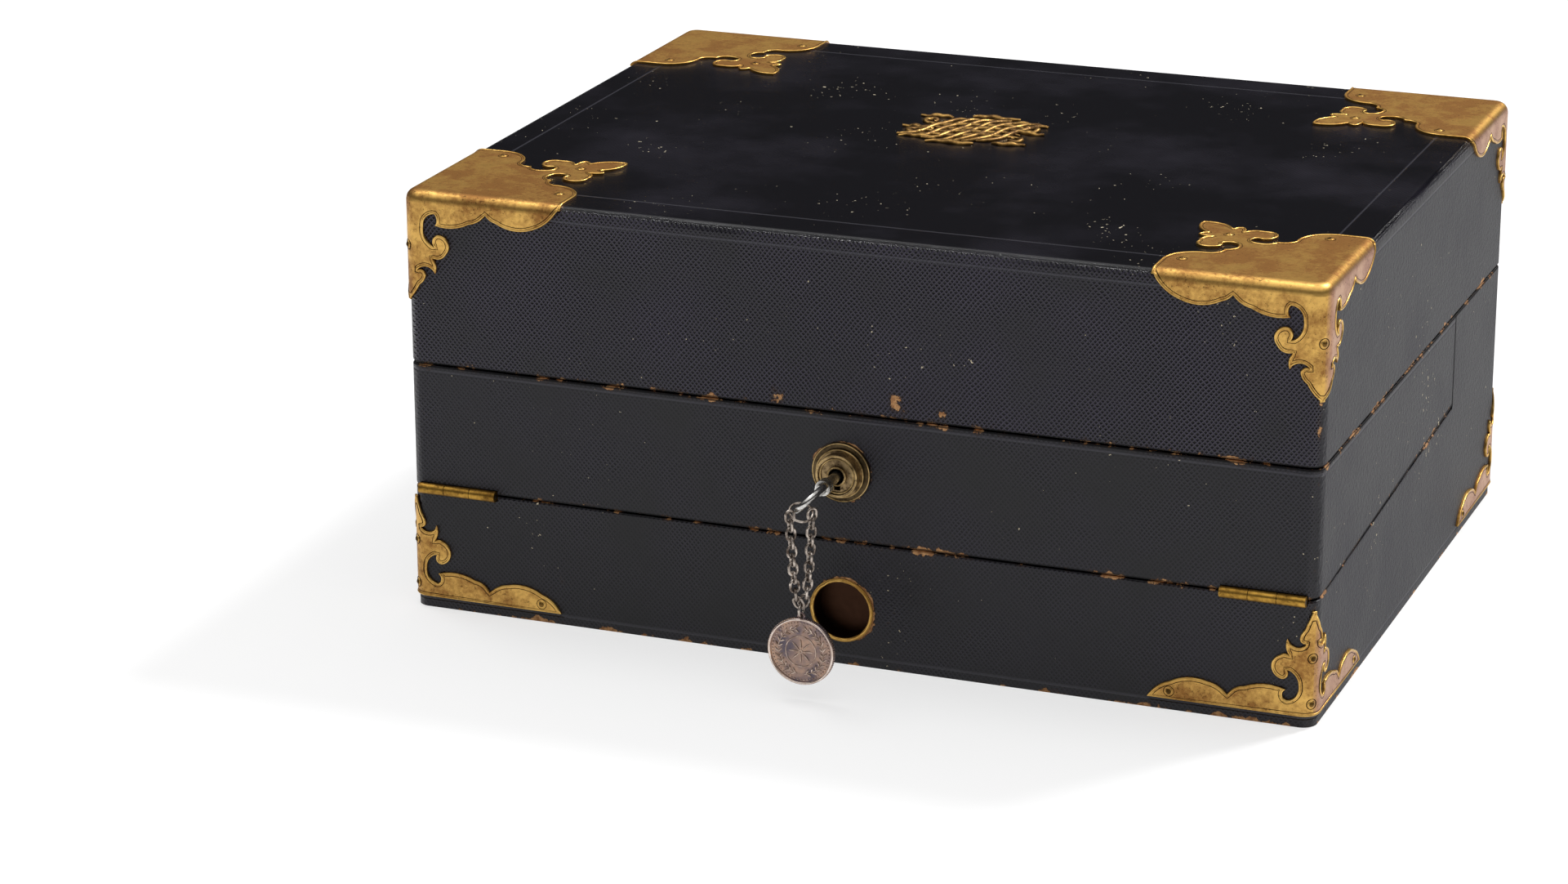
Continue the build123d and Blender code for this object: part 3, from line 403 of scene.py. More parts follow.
        # Wear stays near the outer faces, so that the rims inside the box keep their dye
        near = [add(tree, "MapRange", reach, half - self.face_reach * MM, half - 1.2 * MM)
                for reach, half in sides]
        outside = add(tree, "Math", *near, operation="MAXIMUM")
        for seam in self.seams:
            off, within = self._off_seam(tree, parts, seam)
            near = add(tree, "MapRange", off, 0.3 * MM, self.rub_reach * MM, 1.0, 0.0)
            near = add(tree, "Math", near, within, operation="MULTIPLY")
            near = add(tree, "Math", near, outside, operation="MULTIPLY")
            close = add(tree, "Math", close, near, operation="MAXIMUM")
        for spot_x, spot_z, radius in self.spots:
            off_x = add(tree, "Math", x, spot_x, operation="SUBTRACT")
            off_z = add(tree, "Math", z, spot_z, operation="SUBTRACT")
            off = add(tree, "Math", off_x, off_x, operation="MULTIPLY")
            off = add(tree, "Math", off_z, off_z, off, operation="MULTIPLY_ADD")
            off = add(tree, "Math", off, 0.5, operation="POWER")
            near = add(tree, "MapRange", off, radius + 0.3 * MM, radius + self.spot_fade * MM,
                       self.spot_wear, 0.0)
            ahead = add(tree, "Math", y, MM - depth, operation="LESS_THAN")
            near = add(tree, "Math", near, ahead, operation="MULTIPLY")
            close = add(tree, "Math", close, near, operation="MAXIMUM")
        ragged = add(tree, "TexNoise", Vector=at, Scale=per_mm(self.chip_size), Detail=8.0,
                     Roughness=0.62)
        patchy = add(tree, "TexNoise", Vector=at, Scale=per_mm(self.chip_patch), Detail=2.0)
        score = add(tree, "Math", close, 0.3, ragged, operation="MULTIPLY_ADD")
        score = add(tree, "Math", patchy, 0.42, score, operation="MULTIPLY_ADD")
        chip = add(tree, "MapRange", score, self.chip_from, 1.06)
        edge = add(tree, "MapRange", score, self.brown_from, 1.055, 0.0, 0.85)
        return chip, edge


@dataclass(frozen=True)
class Brass:
    """Brass sheet or bar, gilt or lacquered long ago, with brown patina and pitting.

    Its sizes are in millimetres, and the depth where painted shade starts is in metres.
    """

    name: str
    bright: str = "#dcb061"
    patina: str = "#9c6f3c"
    pit: str = "#35261a"
    side_painted_light: str = "#b48a7a"
    side_light_share: float = 0.0
    roughness: float = 0.34
    patina_size: float = 14.0
    mottle_size: float = 1.7
    grit_size: float = 0.9
    scratch_size: float = 0.5
    dent_size: float = 5.0
    pit_amount: float = 0.5
    dents: float = 0.3
    step_shade_from: float | None = None

    def material(self) -> Material:
        """Build the brass: a warm mirror blurred by fine scratches, dull where the patina lies, with
        painted shade on its top faces and, where asked, painted light on its sides.

        Returns:
            The material, warm and bright where its patina is thin.
        """
        material, tree, shader = blank_material(self.name, Metallic=1.0)
        place = add(tree, "TexCoord")
        at = place.outputs["Object"]
        nx, _, nz = add(tree, "SeparateXYZ", place.outputs["Normal"]).outputs
        # Painted light: faces that look sideways are turned a paler pink
        side = add(tree, "MapRange", add(tree, "Math", nx, operation="ABSOLUTE"), 0.75, 0.95, 0.0,
                   self.side_light_share)
        cloud = add(tree, "TexNoise", Vector=at, Scale=per_mm(self.patina_size), Detail=6.0, Roughness=0.6)
        cloud = add(tree, "MapRange", cloud, 0.38, 0.66)
        mottle = add(tree, "TexNoise", Vector=at, Scale=per_mm(self.mottle_size), Detail=5.0,
                     Roughness=0.7)
        mottle = add(tree, "MapRange", mottle, 0.35, 0.65, -0.3, 0.3)
        cloud = add(tree, "Math", cloud, mottle, operation="ADD", use_clamp=True)
        # Painted shade: faces that look up take more of the patina colour, so the tops read darker
        top = add(tree, "MapRange", nz, 0.8, 0.97, 0.0, 0.35)
        cloud = add(tree, "Math", cloud, top, operation="ADD", use_clamp=True)
        colour = add(tree, "MixRGB", cloud, tint(self.bright), tint(self.patina))
        colour = add(tree, "MixRGB", side, colour, tint(self.side_painted_light))
        grit = add(tree, "TexNoise", Vector=at, Scale=per_mm(self.grit_size), Detail=4.0, Roughness=0.7)
        grit = add(tree, "Math", cloud, 0.06, grit, operation="MULTIPLY_ADD")
        pit = add(tree, "MapRange", grit, 0.62, 0.68, 0.0, self.pit_amount)
        colour = add(tree, "MixRGB", pit, colour, tint(self.pit))
        if self.step_shade_from is not None:
            # Painted shade: the pit colour darkens the steps nearest the leather
            _, depth, _ = add(tree, "SeparateXYZ", at).outputs
            depth = add(tree, "Math", mottle, 1.2 * MM, depth, operation="MULTIPLY_ADD")
            step_shade = add(tree, "MapRange", depth, self.step_shade_from, self.step_shade_from + 0.8 * MM, 0.0, 0.8)
            colour = add(tree, "MixRGB", step_shade, colour, tint(self.pit))
        stretched = add(tree, "Mapping", Vector=at, Scale=(0.12, 1.0, 1.0))
        scratch = add(tree, "TexNoise", Vector=stretched, Scale=per_mm(self.scratch_size), Detail=2.0)
        gloss = self.roughness
        for share, change in ((cloud, 0.12), (scratch, 0.14), (pit, 0.3)):
            gloss = add(tree, "Math", share, change, gloss, operation="MULTIPLY_ADD")
        height = add(tree, "TexNoise", Vector=at, Scale=per_mm(self.dent_size), Detail=3.0)
        for share, change in ((scratch, 0.1), (pit, -0.5)):
            height = add(tree, "Math", share, change, height, operation="MULTIPLY_ADD")
        bump = add(tree, "Bump", Strength=self.dents, Distance=0.25 * MM, Height=height)
        feed(shader, {"Base Color": colour, "Roughness": gloss, "Normal": bump})
        return material


@dataclass(frozen=True)
class Silver:
    """Steel or silver, drawn or struck, with tarnish lying in blotches, its sizes in millimetres."""

    name: str
    clean: str = "#b4aaa0"
    tarnish: str = "#6a5c53"
    roughness: float = 0.28
    blotch: float = 3.0
    fine: float = 0.6
    bite: float = 0.2

    def material(self) -> Material:
        """Build the metal: bright where it is handled, dull and brown where it has tarnished.

        Returns:
            The material, its gloss falling with the tarnish.
        """
        material, tree, shader = blank_material(self.name, Metallic=1.0)
        at = add(tree, "TexCoord").outputs["Object"]
        cloud = add(tree, "TexNoise", Vector=at, Scale=per_mm(self.blotch), Detail=5.0, Roughness=0.65)
        cloud = add(tree, "MapRange", cloud, 0.36, 0.62)
        colour = add(tree, "MixRGB", cloud, tint(self.clean), tint(self.tarnish))
        gloss = add(tree, "Math", cloud, 0.18, self.roughness, operation="MULTIPLY_ADD")
        fine = add(tree, "TexNoise", Vector=at, Scale=per_mm(self.fine), Detail=3.0)
        bump = add(tree, "Bump", Strength=self.bite, Distance=0.08 * MM, Height=fine)
        feed(shader, {"Base Color": colour, "Roughness": gloss, "Normal": bump})
        return material


@dataclass(frozen=True)
class Walnut:
    """Walnut board, planed and oiled, its grain along the box's width."""

    name: str = "oiled walnut"
    early: str = "#8a5a35"
    late: str = "#4a2c1a"
    grain_width: float = 2.6
    pore_width: float = 0.7

    def material(self) -> Material:
        """Build the wood: long wavering streaks, satin from the oil, with open pores.

        Returns:
            The material, its streaks along the box's width.
        """
        material, tree, shader = blank_material(self.name, IOR=1.5)
        at = add(tree, "TexCoord").outputs["Object"]
        along = add(tree, "Mapping", Vector=at, Scale=(0.06, 1.0, 1.0))
        streak = add(tree, "TexNoise", Vector=along, Scale=per_mm(self.grain_width), Detail=6.0,
                     Roughness=0.6, Distortion=0.4)
        share = add(tree, "MapRange", streak, 0.32, 0.68)
        colour = add(tree, "MixRGB", share, tint(self.late), tint(self.early))
        pore = add(tree, "Mapping", Vector=at, Scale=(0.15, 1.0, 1.0))
        pore = add(tree, "TexNoise", Vector=pore, Scale=per_mm(self.pore_width), Detail=2.0)
        bump = add(tree, "Bump", Strength=0.35, Distance=0.12 * MM, Height=pore)
        gloss = add(tree, "MapRange", streak, 0.3, 0.7, 0.52, 0.42)
        feed(shader, {"Base Color": colour, "Roughness": gloss, "Normal": bump})
        return material


@dataclass(frozen=True)
class WateredSilk:
    """Ribbed silk pressed wet between rollers, which leaves wandering bright bands."""

    name: str = "watered silk"
    deep: str = "#54222a"
    lit: str = "#74363c"
    rib: float = 1.0
    band: float = 11.0

    def material(self) -> Material:
        """Build the silk: fine ribs with a soft sheen and slow watermark bands.

        Returns:
            The material, lighter along its bands.
        """
        material, tree, shader = blank_material(self.name, Roughness=0.5, Sheen_Weight=0.35,
                                                Sheen_Roughness=0.4)
        at = add(tree, "TexCoord").outputs["Object"]
        drawn = add(tree, "Mapping", Vector=at, Scale=(1.0, 0.2, 1.0))
        band = add(tree, "TexNoise", Vector=drawn, Scale=per_mm(self.band), Detail=2.0, Distortion=1.6)
        share = add(tree, "MapRange", band, 0.3, 0.7)
        # The real ribs are about 0.4 mm, drawn at 1 mm so that they show
        ribs = add(tree, "TexWave", Vector=at, Scale=per_mm(self.rib) / 6.5, Distortion=0.6,
                   bands_direction="Y")
        share = add(tree, "Math", ribs, 0.35, share, operation="MULTIPLY_ADD")
        colour = add(tree, "MixRGB", share, tint(self.deep), tint(self.lit))
        bump = add(tree, "Bump", Strength=0.4, Distance=0.15 * MM, Height=ribs)
        feed(shader, {"Base Color": colour, "Normal": bump})
        return material


@dataclass(frozen=True)
class WritingLeather:
    """Thin brown calf pasted on the writing flaps, with a gilt line round its edge."""

    name: str = "tooled calf"
    calf: str = "#5a2c1c"
    shade: str = "#3c1c12"
    gilt: str = "#c79b4b"
    border: float = 7.0
    cloud_size: float = 20.0
    pore_size: float = 0.9

    def material(self, low: Vector, high: Vector) -> Material:
        """Build the calf: smooth and satin, clouded brown, with a line that shines as gold does.

        Args:
            low: Lowest corner of the sheet, in metres.
            high: Highest corner of the sheet, in metres.

        Returns:
            The material, with its border placed inside those corners.
        """
        material, tree, shader = blank_material(self.name, IOR=1.5)
        at = add(tree, "TexCoord").outputs["Object"]
        x, y, _ = add(tree, "SeparateXYZ", at).outputs
        middle, half = (low + high) / 2, (high - low) / 2
        over = []
        for value, centre, reach in ((x, middle.x, half.x), (y, middle.y, half.y)):
            off = add(tree, "Math", value, centre, operation="SUBTRACT")
            off = add(tree, "Math", off, operation="ABSOLUTE")
            over.append(add(tree, "Math", off, reach - self.border * MM, operation="SUBTRACT"))
        off = add(tree, "Math", *over, operation="MAXIMUM")
        off = add(tree, "Math", off, operation="ABSOLUTE")
        line = add(tree, "MapRange", off, 0.4 * MM, 0.6 * MM, 1.0, 0.0)
        cloud = add(tree, "TexNoise", Vector=at, Scale=per_mm(self.cloud_size), Detail=4.0)
        colour = add(tree, "MixRGB", cloud, tint(self.shade), tint(self.calf))
        colour = add(tree, "MixRGB", line, colour, tint(self.gilt))
        pores = add(tree, "TexNoise", Vector=at, Scale=per_mm(self.pore_size), Detail=3.0)
        bump = add(tree, "Bump", Strength=0.3, Distance=0.1 * MM, Height=pores)
        gloss = add(tree, "MapRange", cloud, 0.0, 1.0, 0.4, 0.55)
        feed(shader, {"Base Color": colour, "Roughness": gloss, "Metallic": line, "Normal": bump})
        return material


@dataclass(frozen=True)
class ShadedRecess:
    """Brass cup, painted dark inside as shade in its hollow, its rim rubbed bright."""

    name: str = "shaded brass cup"
    rim: str = "#a58143"
    inside: str = "#2a1a12"
    floor: str = "#4f372a"
    cloud_size: float = 2.2

    def material(self, face: float, depth: float) -> Material:
        """Build the cup: a thin bright rim round a dull hollow, painted dark as shade and a little lighter
        on its floor.

        Args:
            face: Depth coordinate of the box's front, in metres.
            depth: How deep the cup is, in metres.

        Returns:
            The material, bright only in front of the leather.
        """
        material, tree, shader = blank_material(self.name, Metallic=1.0)
        at = add(tree, "TexCoord").outputs["Object"]
        _, y, _ = add(tree, "SeparateXYZ", at).outputs
        cloud = add(tree, "TexNoise", Vector=at, Scale=per_mm(self.cloud_size), Detail=4.0)
        ragged = add(tree, "Math", cloud, 1.2 * MM, y, operation="MULTIPLY_ADD")
        bright = add(tree, "MapRange", ragged, face + 0.5 * MM, face + 0.9 * MM, 1.0, 0.0)
        deep = add(tree, "MapRange", y, face + 0.8 * depth, face + depth)
        # Painted shade: the hollow is coloured near black, a little lighter on its floor
        shade_and_dirt = add(tree, "MixRGB", deep, tint(self.inside), tint(self.floor))
        colour = add(tree, "MixRGB", bright, shade_and_dirt, tint(self.rim))
        gloss = add(tree, "MapRange", cloud, 0.0, 1.0, 0.3, 0.6)
        bump = add(tree, "Bump", Strength=0.3, Distance=0.2 * MM, Height=cloud)
        feed(shader, {"Base Color": colour, "Roughness": gloss, "Normal": bump})
        return material


@dataclass(frozen=True)
class PressedGlass:
    """Soda glass pressed in a mould, a little green, with faint ripples."""

    name: str = "pressed glass"
    body: str = "#e9f2ec"
    ripple_size: float = 7.0

    def material(self) -> Material:
        """Build the glass: clear and smooth, with the mould's ripples bending what lies behind.

        Returns:
            The material, with a faint green body.
        """
        material, tree, shader = blank_material(self.name, Base_Color=tint(self.body), Roughness=0.04,
                                                IOR=1.5, Transmission_Weight=1.0)
        at = add(tree, "TexCoord").outputs["Object"]
        ripple = add(tree, "TexNoise", Vector=at, Scale=per_mm(self.ripple_size), Detail=1.0)
        bump = add(tree, "Bump", Strength=0.12, Distance=0.4 * MM, Height=ripple)
        feed(shader, {"Normal": bump})
        return material


def dress(names: list[str], material: Material) -> None:
    """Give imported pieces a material.

    Args:
        names: The pieces.
        material: Their finish.
    """
    for name in names:
        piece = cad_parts[name]
        if not piece.material_slots:
            piece.data.materials.append(material)
        for place in piece.material_slots:
            place.material = material
    log.info("dressed %s in %s", ", ".join(names), material.name)


def finish_piece(name: str, mesh: Mesh, material: Material, body: str) -> bpy.types.Object:
    """Turn a mesh into a piece of the box.

    Args:
        name: Piece's name.
        mesh: Its mesh, in the box's coordinates.
        material: Its finish.
        body: The body that it moves with.

    Returns:
        The new piece.
    """
    for face in mesh.polygons:
        face.use_smooth = True
    mesh.materials.clear()
    mesh.materials.append(material)
    piece = bpy.data.objects.new(name, mesh)
    bpy.context.scene.collection.objects.link(piece)
    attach(piece, body)
    log.info("built %s with %d faces", name, len(mesh.polygons))
    return piece


def wires(lines: list[Line], radius: float, closed: bool, widths: list[list[float]] | None = None,
          fineness: int = 2) -> Mesh:
    """Round wires along lines.

    Args:
        lines: Rows of points, in metres.
        radius: Wire's radius, in metres.
        closed: Whether each line joins up with its own start.
        widths: For each point, a share of the radius.
        fineness: How round the section is.

    Returns:
        One mesh of all the wires.
    """
    curve = bpy.data.curves.new("wire", "CURVE")
    curve.dimensions = "3D"
    curve.bevel_depth = radius
    curve.bevel_resolution = fineness
    curve.use_fill_caps = True
    for i, line in enumerate(lines):
        spline = curve.splines.new("POLY")
        spline.points.add(len(line) - 1)
        for j, point in enumerate(line):
            spline.points[j].co = (*point, 1.0)
            spline.points[j].radius = widths[i][j] if widths else 1.0
        spline.use_cyclic_u = closed
    holder = bpy.data.objects.new("wire", curve)
    mesh = bpy.data.meshes.new_from_object(holder)
    bpy.data.objects.remove(holder)
    return mesh


def turned(profile: Plan, centre: Vector, steps: int = 96) -> Mesh:
    """Ring turned about a line through centre that runs front to back.

    Args:
        profile: Closed row of (radius, depth) points, in metres.
        centre: Point on the turning line.
        steps: How many steps go round.

    Returns:
        The ring's mesh.
    """
    shape = bmesh.new()
    rows = []
    for i in range(steps):
        angle = 2 * math.pi * i / steps
        way = Vector((math.cos(angle), 0, math.sin(angle)))
        rows.append([shape.verts.new(centre + way * r + Vector((0, d, 0))) for r, d in profile])
    for i, row in enumerate(rows):
        after = rows[(i + 1) % steps]
        for j in range(len(profile)):
            k = (j + 1) % len(profile)
            shape.faces.new((row[j], row[k], after[k], after[j]))
    bmesh.ops.recalc_face_normals(shape, faces=shape.faces)
    mesh = bpy.data.meshes.new("ring")
    shape.to_mesh(mesh)
    shape.free()
    return mesh


def half_round(radius: float, depth: float, wire: float, corners: int = 8) -> Plan:
    """Profile of a round bead.

    Args:
        radius: Radius of the ring that the bead makes, in metres.
        depth: Depth of its centre, in metres.
        wire: Bead's own radius, in metres.
        corners: How many points go round it.

    Returns:
        A closed row of (radius, depth) points.
    """
    turns = [2 * math.pi * i / corners for i in range(corners)]
    return [(radius + wire * math.cos(a), depth + wire * math.sin(a)) for a in turns]


def join(meshes: list[Mesh]) -> Mesh:
    """One mesh out of several.

    Args:
        meshes: The meshes, which are used up.

    Returns:
        The joined mesh.
    """
    shape = bmesh.new()
    for mesh in meshes:
        shape.from_mesh(mesh)
        bpy.data.meshes.remove(mesh)
    joined = bpy.data.meshes.new("joined")
    shape.to_mesh(joined)
    shape.free()
    return joined


@dataclass
class Case:
    """The leather-covered case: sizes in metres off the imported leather, and its own in millimetres.

    A tooled line runs lid_line below the lid's top, section_line below the section's and base_line
    over the floor.
    """

    corner: float = 5.0
    top_edge: float = 3.0
    plate: float = 0.7
    lid_line: float = 5.0
    section_line: float = 2.0
    base_line: float = 3.2
    top_wear: float = 2.0
    # Rubbed patches on the lid's front: place across, height over the seam and radius
    lid_rubs: tuple[Spot, ...] = (
        (-25.4, 1.8, 1.6), (17.5, 6.0, 1.6), (21.5, 4.4, 1.6), (33.0, 3.5, 0.6), (49.0, 0.8, 0.8))

    def __post_init__(self) -> None:
        """Read the case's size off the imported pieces."""
        low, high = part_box("lid_leather")
        self.half_width, self.half_depth = high.x, high.y
        self.top, self.lid_bottom = high.z, low.z
        section_low, section_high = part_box("section_leather")
        self.front = section_low.y
        self.fold_front = section_low.z
        self.body_top = section_high.z
        self.cut = section_high.y
        leaf_low, leaf_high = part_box("lower_writing_leather")
        rise = (leaf_high.z - leaf_low.z) / (leaf_high.y - leaf_low.y)
        self.fold_back = self.fold_front + rise * (self.cut - self.front)

    def dress(self) -> None:
        """Put the leather on the three parts of the case, each worn along its own seams."""
        back = self.half_depth
        lid_edge = Seam(self.front, self.lid_bottom, back, self.lid_bottom)
        over_top = self.top + self.top_wear * MM
        top_edge = Seam(self.front, over_top, back, over_top, False)
        upright = Seam(self.cut, self.fold_back, self.cut, self.body_top)
        rim = Seam(self.front, self.body_top, back, self.body_top)
        fold = Seam(self.front, self.fold_front, self.cut, self.fold_back)
        foot = Seam(self.front, 0.0, back, 0.0, False)
        rubs = tuple((x * MM, self.lid_bottom + z * MM, radius * MM) for x, z, radius in self.lid_rubs)
        coverings = {
            "lid_leather": Leather("glazed black goatskin on the lid", (lid_edge, top_edge),
                                   self.top - self.lid_line * MM, spots=rubs, spot_wear=1.12,
                                   spot_fade=4.5),
            "section_leather": Leather("glazed black goatskin on the section", (rim, fold, upright),
                                       self.body_top - self.section_line * MM, Face.SMOOTH,
                                       (self.round_place("lock_escutcheon"),)),
            "base_leather": Leather("glazed black goatskin on the base", (rim, fold, upright, foot),
                                    self.base_line * MM, Face.SMOOTH, (self.round_place("recess_cup"),)),
        }
        for node, leather in coverings.items():
            dress([node], leather.material(self.half_width, self.half_depth))

    @staticmethod
    def round_place(node: str) -> Spot:
        """Middle and radius of a round fitting on the front.

        Args:
            node: The fitting.

        Returns:
            Its place across, its height and its radius, in metres.
        """
        low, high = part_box(node)
        radius = (high.x - low.x) / 2
        return ((low.x + high.x) / 2, high.z - radius, radius)

    def height_over(self, point: Vector) -> float:
        """Distance of a point outside the leather's surface.

        Args:
            point: Place in the box's coordinates.

        Returns:
            Distance in metres, 0 on the leather.
        """
        flat = Vector((abs(point.x) - self.half_width + self.corner * MM,
                       abs(point.y) - self.half_depth + self.corner * MM))
        plan = Vector((max(flat.x, 0), max(flat.y, 0))).length + min(max(flat.x, flat.y), 0)
        plan -= self.corner * MM
        if point.z < self.lid_bottom:
            return plan
        edge = self.top_edge * MM
        out, up = plan + edge, point.z - self.top + edge
        return Vector((max(out, 0), max(up, 0))).length + min(max(out, up), 0) - edge


@dataclass
class CornerEdging:
    """Raised bright rim and engraved line that follow the outline of the brass corners.

    Sizes are in millimetres. A row of sliver points or fewer is a stray edge, and a line of stub
    points or fewer has no room inside its outline.
    """

    case: Case
    node: str
    body: str
    bead: float = 0.42
    bead_inset: float = 0.36
    line: float = 0.17
    line_inset: float = 1.25
    sharp: float = 50.0
    bead_sink: float = 0.14
    line_sink: float = 0.1
    weld: float = 0.002
    outer_share: float = 0.8
    clear_share: float = 0.93
    sliver: int = 8
    stub: int = 3

    def outlines(self) -> list[Outline]:
        """Outlines of the plates' outer faces.

        Returns:
            Closed rows of (point, direction into the plate, direction out of the box).
        """
        shape = bmesh.new()
        shape.from_mesh(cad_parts[self.node].data)
        bmesh.ops.remove_doubles(shape, verts=shape.verts, dist=self.weld * MM)
        shape.normal_update()
        skin = self.case.plate * MM
        links: dict[int, list[tuple[int, Vector, Vector]]] = {}
        places: dict[int, Vector] = {}
        for edge in shape.edges:
            if len(edge.link_faces) != 2 or edge.calc_face_angle(0) < math.radians(self.sharp):
                continue
            if min(self.case.height_over(v.co) for v in edge.verts) < self.outer_share * skin:
                continue
            outer = max(edge.link_faces, key=lambda f: self.case.height_over(f.calc_center_median()))
            start, end = edge.verts
            inward = outer.normal.cross(end.co - start.co).normalized()
            middle = (start.co + end.co) / 2
            if inward.dot(outer.calc_center_median() - middle) < 0:
                inward.negate()
            for a, b in ((start, end), (end, start)):
                links.setdefault(a.index, []).append((b.index, inward, outer.normal.copy()))
                places[a.index] = a.co.copy()
        shape.free()
        rows, left = [], set(links)
        while left:
            first = min(left)
            row, now, before = [], first, -1
            while now in left:
                left.discard(now)
                inward = sum((link[1] for link in links[now]), Vector()).normalized()
                outward = sum((link[2] for link in links[now]), Vector()).normalized()
                row.append((places[now], inward, outward))
                onward = [link[0] for link in links[now] if link[0] != before and link[0] in left]
                before, now = now, onward[0] if onward else -1
            if len(row) > self.sliver:
                rows.append(row)
        return rows

    def inset(self, row: Outline, distance: float, lift: float) -> Line:
        """Line that runs inside an outline.

        Args:
            row: The outline.
            distance: How far inside, in millimetres.
            lift: Height over the plate, in millimetres.

        Returns:
            The line's points, without those that fall too near another part of the outline.
        """
        tree = kdtree.KDTree(len(row))
        for i, (point, _, _) in enumerate(row):
            tree.insert(point, i)
        tree.balance()
        line = []
        for point, inward, outward in row:
            moved = point + inward * distance * MM
            if tree.find(moved)[2] > self.clear_share * distance * MM:
                line.append(moved + outward * lift * MM)
        return line

    def build(self, gilt: Material, shade_and_dirt: Material) -> None:
        """Make the rim and the line.

        Args:
            gilt: Finish of the rim.
            shade_and_dirt: Finish of the line, which is full of old polish.
        """
        rows = self.outlines()
        beads = [self.inset(row, self.bead_inset, -self.bead_sink) for row in rows]
        lines = [self.inset(row, self.line_inset, -self.line_sink) for row in rows]
        beads, lines = ([line for line in group if len(line) > self.stub] for group in (beads, lines))
        name = self.node.rstrip("s")
        finish_piece(name + "_rims", wires(beads, self.bead * MM, True), gilt, self.body)
        finish_piece(name + "_engraving", wires(lines, self.line * MM, True, None, 1), shade_and_dirt, self.body)


def curl(centre: tuple[float, float], start: float, turns: float, wide: float, tight: float,
         steps: int = 26) -> Plan:
    """Spiral in a plane.

    Args:
        centre: Eye of the spiral, in millimetres.
        start: Angle where it starts, in degrees.
        turns: How far it turns, in degrees.
        wide: Radius at its start, in millimetres.
        tight: Radius at its eye, in millimetres.
        steps: How many steps it takes.

    Returns:
        Points along it, in millimetres.
    """
    points = []
    for i in range(steps + 1):
        share = i / steps
        angle = math.radians(start + turns * share)
        radius = wide + (tight - wide) * share ** 0.8
        points.append((centre[0] + radius * math.cos(angle), centre[1] + radius * math.sin(angle)))
    return points


def bend(points: tuple[tuple[float, float], ...], steps: int = 16) -> Plan:
    """Smooth cubic bend between its first and last points, drawn by the two between them.

    Args:
        points: Four points, in millimetres.
        steps: How many steps it takes.

    Returns:
        Points along it.
    """
    a, b, c, d = (Vector(p) for p in points)
    line = []
    for i in range(steps + 1):
        t = i / steps
        point = a * (1 - t) ** 3 + b * 3 * t * (1 - t) ** 2 + c * 3 * t * t * (1 - t) + d * t ** 3
        line.append((point.x, point.y))
    return line


@dataclass
class ScrollMount:
    """Gilt mount on the lid: a knot of slanted foliate strapwork, its sizes in millimetres."""

    node: str = "lid_ornament"
    stroke: float = 1.25
    bars: int = 7
    pitch: float = 4.9
    reach: float = 16.5
    taper: float = 1.2
    slant: float = 9.0
    band_gap: float = 9.5
    lift: float = 0.15
    wave: float = 0.2

    def strokes(self) -> list[tuple[Plan, float]]:
        """Strokes of one half, in millimetres from the middle, each with its heaviest share.

        Returns:
            Each stroke's points and the share of the full thickness at its heaviest.
        """
        strokes = []
        for i in range(self.bars):
            k = i - self.bars // 2
            x, reach = self.pitch * k, self.reach - self.taper * abs(k)
            bar = bend(((x - self.slant, -reach), (x + 1, -reach - 2), (x - 1, reach + 2),
                        (x + self.slant, reach)), 22)
            strokes.append((bar, 1.0))
        for y in (0, self.band_gap):
            strokes.append((bend(((-19, y - 4), (-9, y - 10), (7, y + 5), (18, y - 1)), 24), 0.8))
        strokes += [
            (curl((18.6, 7.4), 250, 360, 4.2, 1.0), 0.95),
            (curl((17.8, -8.2), 120, -350, 3.8, 0.9), 0.85),
            (bend(((14, 2.5), (18, 4.5), (21, 0.5), (25.5, 2.6))), 1.1),
            (bend(((12, -14), (17, -17), (20, -12), (24.0, -13.6))), 1.0),
            (bend(((-6, 17.5), (0, 21), (4, 16.0), (11, 19.6))), 1.1),
            (bend(((8, 12.5), (13, 16), (17, 12.5), (22.5, 14.8))), 1.0),
        ]
        return strokes

    def build(self, material: Material) -> None:
        """Make the mount in place of its plain form.

        Args:
            material: Its finish.
        """
        low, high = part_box(self.node)
        centre = Vector(((low.x + high.x) / 2, (low.y + high.y) / 2, low.z))
        lines, widths = [], []
        for k, (points, heavy) in enumerate(self.strokes()):
            shares = [i / (len(points) - 1) for i in range(len(points))]
            # The strokes pass over and under each other, and swell in the middle
            rise = [self.lift + self.wave * math.sin(share * math.pi * 5 + k) for share in shares]
            swell = [heavy * (0.35 + 0.65 * math.sin(math.pi * min(0.92, 0.08 + share * 0.92)))
                     for share in shares]
            for turn in (1, -1):
                lines.append([centre + Vector((turn * u, turn * v, h)) * MM
                              for (u, v), h in zip(points, rise)])
                widths.append(swell)
        mesh = wires(lines, self.stroke * MM, False, widths, 3)
        piece = finish_piece("lid_scroll_mount", mesh, material, "lid")
        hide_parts(self.node)


